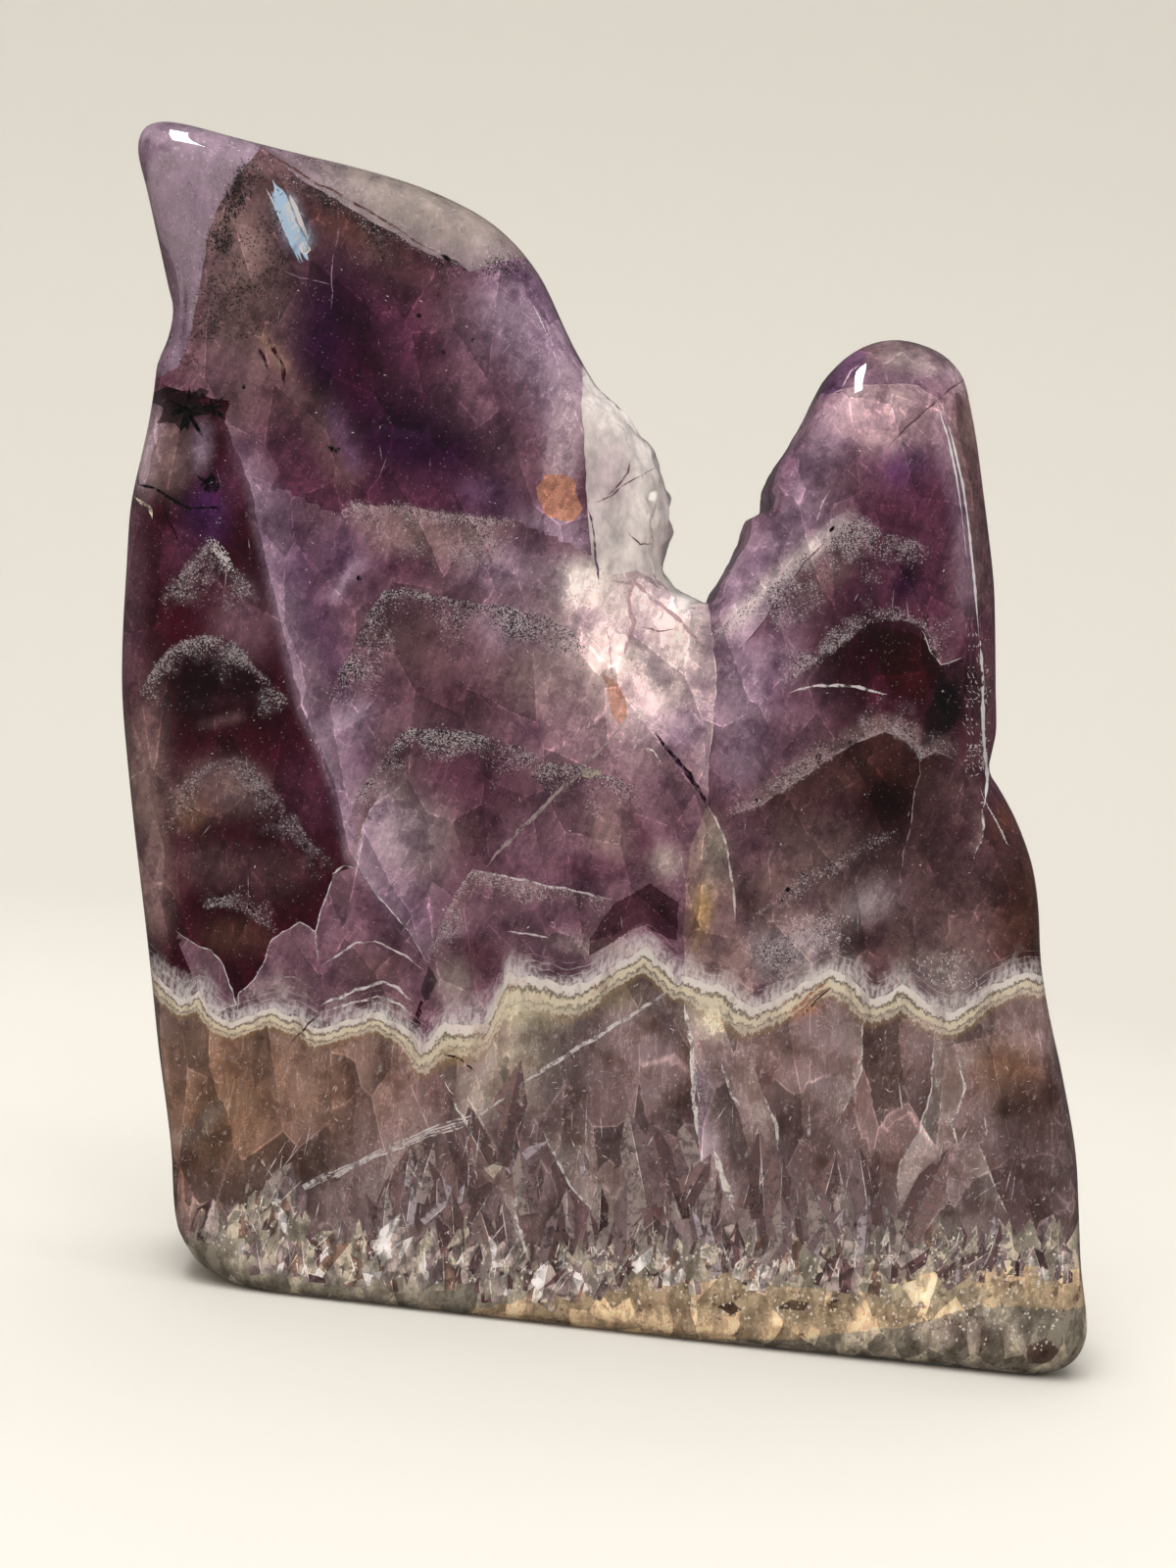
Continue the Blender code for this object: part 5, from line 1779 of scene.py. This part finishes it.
def build_skin():
    """The clear polished outside of the stone, which stands for the whole solid."""
    count = len(SKIN_RINGS[0])
    points = list(SKIN_RINGS)
    polygons = []
    for step in range(len(SKIN_RINGS) - 1):
        for i in range(count):
            after = (i + 1) % count
            front, back = step * count, (step + 1) * count
            polygons.append((front + i, back + i, back + after, front + after))
    total = count * len(SKIN_RINGS)
    for ring_number, side in ((0, -1), (len(SKIN_RINGS) - 1, 1)):
        border = SKIN_RINGS[ring_number][:, [0, 2]]
        inner = grid_points(border.min(0), border.max(0), FACE_SPACING)
        inner = inner[well_inside(inner, border, FACE_MARGIN)]
        verts, faces = filled(border, [], inner, FACE_TOLERANCE)
        if side > 0:
            faces = faces[:, ::-1]
        first = ring_number * count
        index = np.where(np.arange(len(verts)) < count, first, total - count) + np.arange(len(verts))
        polygons += [tuple(int(index[i]) for i in face) for face in faces]
        points.append(np.column_stack([inner[:, 0], side * half_thickness(inner[:, 1]), inner[:, 1]]))
        total += len(inner)
    mesh = mesh_of("polished_skin", np.concatenate(points), polygons)
    bm = bmesh.new()
    bm.from_mesh(mesh)
    bmesh.ops.recalc_face_normals(bm, faces=bm.faces)
    bm.to_mesh(mesh)
    bm.free()
    mesh.shade_smooth()
    mesh.set_sharp_from_angle(angle=math.radians(SHARPEST_BEND))
    skin = object_of("polished_skin", mesh, quartz_material())
    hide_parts(NODE)


def plan_of_stone():
    """Points and triangles of the plan that all clouded pieces share."""
    lines = [wandering(line) for line, *_ in PHANTOMS + FACETS]
    lines += [looped(outline) for outline, *_ in TINTS]
    lines += [wandering(line) for line in (
        PHANTOM_RIGHT, PHANTOM_LEFT, CAP_LOWER_LEFT, WINDOW_EDGE, COLUMN_LEFT, COLUMN_RIGHT,
        BETWEEN_PEAKS, SHARD_LEFT, SHARD_MIDDLE, SHARD_TALL,
    )]
    lines += [BAND_TOP, CRUST_EDGE, MATRIX_EDGE, LENS_EDGE]
    border = refined(inset(LAYERS, side_inset(OUTLINE) + BREAK_SHARE * FINISHES[:, 3]))
    across = left_of(np.gradient(BAND_TOP, axis=0))
    beside = [BAND_TOP + offset * across for offset in BESIDE_BAND]
    extra = np.concatenate(beside + [grid_points(border.min(0), border.max(0), PLAN_SPACING)])
    extra = extra[well_inside(extra, border, BORDER_GAP)]
    plan, faces = filled(border, lines, extra, PLAN_TOLERANCE)
    used, faces = only_used(faces)
    return plan[used], faces


def doubled(name, plan, faces, half, walled, values, material):
    """A front and a back sheet with the plan's triangles, joined round their border.

    walled says which of the border's edges the side wall stands on, and values holds each
    colour layer at the three corners of every triangle in turn.
    """
    count = len(plan)
    cells = np.arange(faces.size).reshape(-1, 3)
    starts = faces.ravel()
    ends = np.roll(faces, -1, 1).ravel()
    rim = np.flatnonzero(~np.isin(starts * count + ends, ends * count + starts))
    rim = rim[walled((plan[starts[rim]] + plan[ends[rim]]) / 2)]
    after = cells[:, [1, 2, 0]].ravel()
    outward = np.zeros((count, 2))
    normals = -left_of(plan[ends[rim]] - plan[starts[rim]])
    np.add.at(outward, starts[rim], normals)
    np.add.at(outward, ends[rim], normals)
    outward /= np.maximum(length_of(outward), 1e-9)

    points = [np.column_stack([plan[:, 0], side * half, plan[:, 1]]) for side in (-1, 1)]
    polygons = faces.tolist() + (faces[:, ::-1] + count).tolist()
    painted = cells.ravel().tolist() + cells[:, ::-1].ravel().tolist()
    on_rim = np.unique(np.concatenate([starts[rim], ends[rim]]))
    rows = np.zeros((WALL_ROWS + 1, count), int)
    rows[0], rows[-1] = np.arange(count), np.arange(count) + count
    for row in range(1, WALL_ROWS):
        share = row / WALL_ROWS
        flat = plan[on_rim] + WALL_BULGE * math.sin(math.pi * share) * outward[on_rim]
        points.append(np.column_stack([flat[:, 0], (2 * share - 1) * half[on_rim], flat[:, 1]]))
        rows[row, on_rim] = np.arange(len(on_rim)) + 2 * count + (row - 1) * len(on_rim)
    for cell in rim:
        start, end = starts[cell], ends[cell]
        for low, high in zip(rows, rows[1:]):
            polygons.append((int(low[start]), int(high[start]), int(high[end]), int(low[end])))
            painted += [cell, cell, after[cell], after[cell]]
    mesh = mesh_of(name, np.concatenate(points), polygons)
    for layer_name, layer_values in values.items():
        paint_corners(mesh, layer_name, layer_values[np.array(painted)])
    object_of(name, mesh, material)


def build_clouds():
    """The clouded pieces of the stone and the haze in its clear tips, under the skin."""
    plan, faces = plan_of_stone()
    half = core_half(plan)
    number = part_of(plan[faces].mean(1))

    def near_outline(middles):
        return distance_to(middles, LOOP)[0] < CORE_SIDE_INSET + DEEPEST_BREAK

    def off_the_band(middles):
        return near_outline(middles) | (distance_to(middles, BAND_TOP)[0] > BAND_WALL_GAP)

    crystals = ("peak", "left", "middle", "right", "column", "shard")
    for name, parts, walled, material in (
        ("clouded_crystals", crystals, off_the_band, crystal_material()),
        ("milky_columns", ("under",), near_outline, column_material()),
        ("crust_and_rock", ("crust", "matrix", "lens"), near_outline, rock_material()),
        ("hazy_tips", ("cap", "window"), near_outline, haze_material()),
    ):
        kept = np.isin(number, [PART_NAMES.index(part) for part in parts])
        used, own_faces = only_used(faces[kept])
        own_plan = plan[used]
        corners = own_plan[own_faces]
        place = (corners * (1 - NUDGE) + corners.mean(1, keepdims=True) * NUDGE).reshape(-1, 2)
        own_number = np.repeat(number[kept], 3)
        flat = corners.reshape(-1, 2)
        window = (own_number == PART_NAMES.index("window")).astype(float)
        third = window if name == "hazy_tips" else level_of(flat, MATRIX_EDGE)
        values = {
            "cloud": stone_colours(place, own_number),
            "levels": np.column_stack([band_level(flat), np.zeros(len(flat)), third]),
        }
        if name == "clouded_crystals":
            values["grains"] = grain_weights(place)
        doubled(name, own_plan, own_faces, half[used], walled, values, material)


class Flakes:
    """Collects thin strips and flat flakes that lie just over the clouded pieces."""

    def __init__(self):
        self.points = []
        self.faces = []
        self.tones = []

    def add(self, flat, faces, tone, side, lifts):
        """Flat points and faces on one side of the stone, lifted over the clouded pieces.

        A lift of 1 would reach from the clouded piece to the skin.
        """
        first = len(self.points)
        lifts = np.broadcast_to(lifts, len(flat))
        self.points += [(*point, side, lift) for point, lift in zip(flat, lifts)]
        for face in faces:
            self.faces.append(tuple(first + int(i) for i in face))
            self.tones.append(PALETTE[tone])

    def strip(self, line, width, tone, side, seed, wander=WANDER):
        """A strip along a line, which wanders a little and thins out at its ends."""
        middle = wandering(line, wander)
        across = left_of(np.gradient(middle, axis=0))
        share = np.linspace(0, 1, len(middle))
        spread = np.array([noise.noise(Vector((x * 1.7, z * 1.7, seed))) for x, z in middle])
        reach = width / 2 * np.clip(np.minimum(share, 1 - share) * 6, 0.1, 1) * (1 + 0.9 * spread)
        flat = np.concatenate([middle + reach[:, None] * across, middle - reach[:, None] * across])
        count = len(middle)
        faces = [(i, i + 1, count + i + 1, count + i) for i in range(count - 1)]
        self.add(flat, faces, tone, side, SHEET_LIFT)

    def patch(self, outline, tone, side):
        """A flat flake with a ragged outline."""
        border = looped(outline)[:-1]
        inner = grid_points(border.min(0), border.max(0), PATCH_SPACING)
        inner = inner[well_inside(inner, border, BORDER_GAP)]
        flat, faces = filled(border, [], inner, PLAN_TOLERANCE)
        used, faces = only_used(faces)
        self.add(flat[used], faces, tone, side, SHEET_LIFT)

    def shard(self, start, way, length, width, tone, side, lifts):
        """A thin pointed shard that starts at a point and runs one way."""
        middle, end = start + way * length / 2, start + way * length
        across = np.array([-way[1], way[0]]) * width / 2
        corners = [start, middle + across, end, middle - across]
        halfway = sum(lifts) / 2
        self.add(corners, [(0, 1, 2, 3)], tone, side, [lifts[0], halfway, lifts[1], halfway])

    def crystal(self, foot, way, length, width, tones, side, lift):
        """A crystal's point: a painted lit face, a painted shaded face, a painted highlight on its ridge.
        """
        across = np.array([-way[1], way[0]]) * width / 2
        left, right = foot + across, foot - across
        rise = way * length * SHOULDER
        tip = foot + way * length
        self.add([left, foot, tip, left + rise], [(0, 1, 2, 3)], tones[0], side, lift)
        self.add([foot, right, right + rise, tip], [(0, 1, 2, 3)], tones[1], side, lift)
        self.shard(foot, way, length, RIDGE_WIDTH, "milky", side, (lift + 0.02, lift + 0.02))

    def piece(self, name, material):
        """Makes one piece of all that was collected."""
        flat, sides, lifts = np.split(np.array(self.points), [2, 3], axis=1)
        y = sides[:, 0] * (core_half(flat) + lifts[:, 0] * cloud_depth(flat))
        mesh = mesh_of(name, np.column_stack([flat[:, 0], y, flat[:, 1]]), self.faces)
        tones = np.repeat(np.array(self.tones), [len(face) for face in self.faces], axis=0)
        paint_corners(mesh, "cloud", tones)
        object_of(name, mesh, material)


def direction(turn):
    return np.array([math.cos(turn), math.sin(turn)])


def spots_in(outline, count, rng, margin=FLECK_MARGIN):
    """Places spread over an outline in loose crowds, kept off the stone's clear rim."""
    low, high = np.min(outline, 0), np.max(outline, 0)
    tries = np.array([
        (rng.uniform(low[0], high[0]), rng.uniform(low[1], high[1])) for _ in range(6 * count)
    ])
    held = inside(tries, outline) & well_inside(tries, OUTLINE, CORE_SIDE_INSET + margin)
    crowd = fractal_at(tries, 3, 3, 8.0, 0.7, 3)
    held &= crowd > np.array([rng.uniform(-0.5, 0.4) for _ in tries])
    return tries[held][:count]


def scatter(flakes, spots, tone, shortest, longest, width, side, rng, lean=FLECK_LEAN):
    """Small shards at places, mostly upright, at many depths in the clear quartz."""
    for spot in spots:
        way = direction(rng.gauss(math.pi / 2, lean))
        length = rng.uniform(shortest, longest)
        lift = rng.uniform(SHEET_LIFT, DEEPEST_FLECK)
        lifts = (lift, min(DEEPEST_FLECK, lift + rng.uniform(-0.05, 0.15)))
        flakes.shard(spot, way, length, width * rng.uniform(0.5, 1.2), tone, side, lifts)


def grow(flakes, feet, shortest, longest, narrowest, widest, pairs, side, rng):
    """Crystals on their feet, the lower ones in front of the higher ones."""
    feet = feet[np.argsort(-feet[:, 1])]
    for number, foot in enumerate(feet):
        way = direction(rng.gauss(math.pi / 2, SPLINTER_LEAN))
        size = rng.uniform(0, 1) ** 1.5
        length = shortest + (longest - shortest) * size
        width = narrowest + (widest - narrowest) * size
        tones = rng.choice(pairs)
        if rng.random() < 0.4:
            tones = tones[::-1]
        lift = SHEET_LIFT + (DEEPEST_FLECK - SHEET_LIFT) * number / len(feet)
        flakes.crystal(foot, way, length, width, tones, side, lift)


def build_inclusions():
    """What lies between the clouded body and the skin, on the front and on the back.

    These are fractures, stains, mineral bursts, fine flecks, crystals with painted lit and shaded
    faces, painted reflections and painted glints.
    """
    flakes, flecks, druse, glints = Flakes(), Flakes(), Flakes(), Flakes()
    rng = random.Random(DRAW_SEED)
    for side in (-1, 1):
        for number, (line, width, tone) in enumerate(FRACTURES):
            flakes.strip(line, width, tone, side, 2.0 + number)
        for outline, count, *sizes, pairs in CRYSTALS:
            grow(flakes, spots_in(outline, count, rng, 1.0), *sizes, pairs, side, rng)
        outline, count, *sizes, pairs = DRUSE
        feet = spots_in(outline, count, rng, 0.7)
        grow(druse, feet[level_of(feet, MATRIX_EDGE) > -DRUSE_UNDER_ROCK], *sizes, pairs, side, rng)
        for offset in BUNDLE_OFFSETS:
            shifted = [(x + offset, z + offset) for x, z in BUNDLE]
            flakes.strip(shifted, BUNDLE_WIDTH, "frost", side, 50.0 + offset)
        for line, width, tone in REFLECTIONS:
            flecks.strip(line, width, tone, side, 70.0, wander=0.02)
        flecks.strip(STREAK, STREAK_CORE, "sky", side, 78.0, wander=0.1)
        for number in range(STREAK_FIBRES):
            low, high = rng.uniform(0.0, 0.35), rng.uniform(0.6, 1.0)
            offset = STREAK_WIDTH * rng.uniform(-0.5, 0.5)
            fibre = resampled(STREAK, 0.4) + np.array([offset, offset * 0.5])
            fibre = fibre[round(low * len(fibre)):round(high * len(fibre))]
            width, tone = rng.uniform(0.08, 0.3), rng.choice(STREAK_TONES)
            flecks.strip(fibre, width, tone, side, 80.0 + number, wander=0.06)
        for outline, tone in PATCHES:
            flakes.patch(outline, tone, side)
        for x, z, radius in DOTS:
            turns = np.arange(DOT_CORNERS) * 2 * math.pi / DOT_CORNERS
            ring = np.column_stack([x + radius * np.cos(turns), z + radius * np.sin(turns)])
            flakes.add(ring, [range(DOT_CORNERS)], "ink", side, SHEET_LIFT)
        for centre, reach, needles, tone in BURSTS:
            for _ in range(needles):
                way = direction(rng.uniform(0, 2 * math.pi))
                start = np.array(centre) + way * rng.uniform(-0.3, 0.3) * reach
                length, width = reach * rng.uniform(0.5, 1.1), rng.uniform(0.15, 0.4)
                flakes.shard(start, way, length, width, tone, side, (0.1, 0.2))
        for outline, count, tone, *sizes in FLECKS:
            scatter(flecks, spots_in(outline, count, rng), tone, *sizes, side, rng)
        for outline, count, tone, shortest, longest, width in SPLINTERS:
            spots = spots_in(outline, count, rng, longest)
            scatter(flakes, spots, tone, shortest, longest, width, side, rng, SPLINTER_LEAN)
        for line, over, under, white, dark, *_ in PHANTOMS:
            middle = wandering(line)
            across = left_of(np.gradient(middle, axis=0))
            for tone, strength in (("frost", white), ("ink", dark)):
                spots = []
                for _ in range(round(FLECKS_ALONG * strength * len(middle) * FINE_SPACING)):
                    number = rng.randrange(1, len(middle) - 1)
                    offset = rng.triangular(-under, over, 0.0)
                    spots.append(middle[number] + offset * across[number])
                spots = np.array(spots)
                spots = spots[well_inside(spots, OUTLINE, CORE_SIDE_INSET + FLECK_MARGIN)]
                scatter(flecks, spots, tone, *FLECK_LENGTHS, FLECK_WIDTH, side, rng)
    (left, foot), (right, top) = GLINT_BOX
    spots = np.array([(rng.uniform(left, right), rng.uniform(foot, top)) for _ in range(GLINT_TRIES)])
    held = well_inside(spots, OUTLINE, GLINT_MARGIN) & (level_of(spots, CRUST_EDGE) < 0.2)
    for number, (x, z) in enumerate(spots[held]):
        size = rng.uniform(0.04, 0.17)
        turn = rng.uniform(0, 2 * math.pi)
        corners = []
        for k in range(3):
            angle = turn + k * 2.1 + rng.uniform(-0.4, 0.4)
            corners.append((x + size * math.cos(angle), z + 1.3 * size * math.sin(angle)))
        tone = rng.choice(GLINT_TONES)
        lifts = [rng.uniform(0.1, 0.6) for _ in corners]
        glints.add(corners, [(0, 1, 2)], tone, -1 if number % 2 else 1, lifts)
    # The fractures piece also holds the tall crystals, with their painted lit and shaded faces and painted
    # highlights on their ridges.
    flakes.piece("fractures", fracture_material())
    # The flecks piece also holds the painted reflections and the painted streak of blue light, and the
    # glints are painted highlights.
    flecks.piece("flecks", inclusion_and_highlight_material())
    druse.piece("druse", druse_material())
    glints.piece("glints", inclusion_and_highlight_material())


# The stage, in metres

FLOOR_COLOUR = tuple(light_of(170, 166, 159))
STAGE_RADIUS = 0.62
STAGE_CURVE = 0.32
STAGE_HEIGHT = 0.75
STAGE_SEGMENTS = 96
CURVE_STEPS = 16


def build_stage():
    """A pale floor that curves up into a round wall, so that no horizon shows from any side."""
    flat = STAGE_RADIUS - STAGE_CURVE
    profile = [(flat * share, 0.0) for share in (0.2, 0.5, 0.8)]
    for step in range(CURVE_STEPS + 1):
        turn = math.radians(90) * step / CURVE_STEPS
        profile.append((flat + STAGE_CURVE * math.sin(turn), STAGE_CURVE * (1 - math.cos(turn))))
    profile.append((STAGE_RADIUS, STAGE_HEIGHT))
    points, faces = [], [tuple(range(STAGE_SEGMENTS))]
    for radius, height in profile:
        for i in range(STAGE_SEGMENTS):
            turn = 2 * math.pi * i / STAGE_SEGMENTS
            points.append((radius * math.cos(turn), radius * math.sin(turn), height))
    for ring in range(len(profile) - 1):
        low, high = ring * STAGE_SEGMENTS, (ring + 1) * STAGE_SEGMENTS
        for i in range(STAGE_SEGMENTS):
            after = (i + 1) % STAGE_SEGMENTS
            faces.append((low + i, high + i, high + after, low + after))
    mesh = bpy.data.meshes.new("stage_floor")
    mesh.from_pydata(points, [], faces)
    mesh.shade_smooth()
    mesh.materials.append(Paint("pale_floor", roughness=0.9).finish(FLOOR_COLOUR))
    floor = bpy.data.objects.new("stage_floor", mesh)
    bpy.context.scene.collection.objects.link(floor)
    floor.visible_glossy = False


def area_light(name, place, target, size, power, colour=(1.0, 1.0, 1.0), mirrored=True):
    """A rectangle of light; mirrored says whether polished faces reflect it."""
    light = bpy.data.lights.new(name, "AREA")
    light.shape = "RECTANGLE"
    light.size, light.size_y = size
    light.energy = power
    light.color = colour
    lamp = bpy.data.objects.new(name, light)
    lamp.location = place
    lamp.rotation_euler = (Vector(target) - Vector(place)).to_track_quat("-Z", "Y").to_euler()
    lamp.visible_camera = False
    lamp.visible_glossy = mirrored
    bpy.context.scene.collection.objects.link(lamp)


def build_lights():
    world = bpy.data.worlds.new("studio")
    world.use_nodes = True
    background = world.node_tree.nodes["Background"]
    background.inputs["Color"].default_value = (1.0, 0.98, 0.95, 1.0)
    background.inputs["Strength"].default_value = 0.06
    bpy.context.scene.world = world
    middle = (0.0, 0.0, 0.045)
    area_light("overhead", (0.0, 0.0, 0.95), middle, (0.9, 0.9), 8.0, mirrored=False)
    area_light("front", (-0.10, -0.40, 0.52), middle, (0.6, 0.5), 4.5, mirrored=False)
    area_light("back", (0.10, 0.42, 0.52), middle, (0.6, 0.5), 2.0, mirrored=False)
    area_light("window", (-0.14, -0.14, 0.60), (-0.14, -0.14, 0.0), (0.07, 0.46), 2.4)
    area_light("side_strip", (0.34, -0.14, 0.28), middle, (0.05, 0.22), 0.24)


# The camera: its distance in metres, its angles in degrees, and where it aims in millimetres

CAMERA_LENS = 50.0
CAMERA_SENSOR = 36.0
CAMERA_DISTANCE = 0.168
CAMERA_ROLL = 6.5
CAMERA_ELEVATION = 1.5
AIM = (-1.5, -8.1, 42.1)


def build_camera():
    aim = Vector(in_frame([AIM])[0])
    tilt = math.radians(CAMERA_ELEVATION)
    away = Vector((0.0, -math.cos(tilt), math.sin(tilt)))
    data = bpy.data.cameras.new("camera")
    data.lens = CAMERA_LENS
    data.sensor_width = CAMERA_SENSOR
    data.sensor_height = CAMERA_SENSOR
    data.sensor_fit = "AUTO"
    data.clip_start = 0.005
    camera = bpy.data.objects.new("camera", data)
    look = (-away).to_track_quat("-Z", "Y").to_matrix().to_4x4()
    roll = Matrix.Rotation(math.radians(CAMERA_ROLL), 4, "Z")
    camera.matrix_world = Matrix.Translation(aim + away * CAMERA_DISTANCE) @ look @ roll
    bpy.context.scene.collection.objects.link(camera)
    bpy.context.scene.camera = camera


build_skin()
build_clouds()
build_inclusions()
build_stage()
build_lights()
build_camera()
bpy.context.scene.view_settings.view_transform = "Standard"
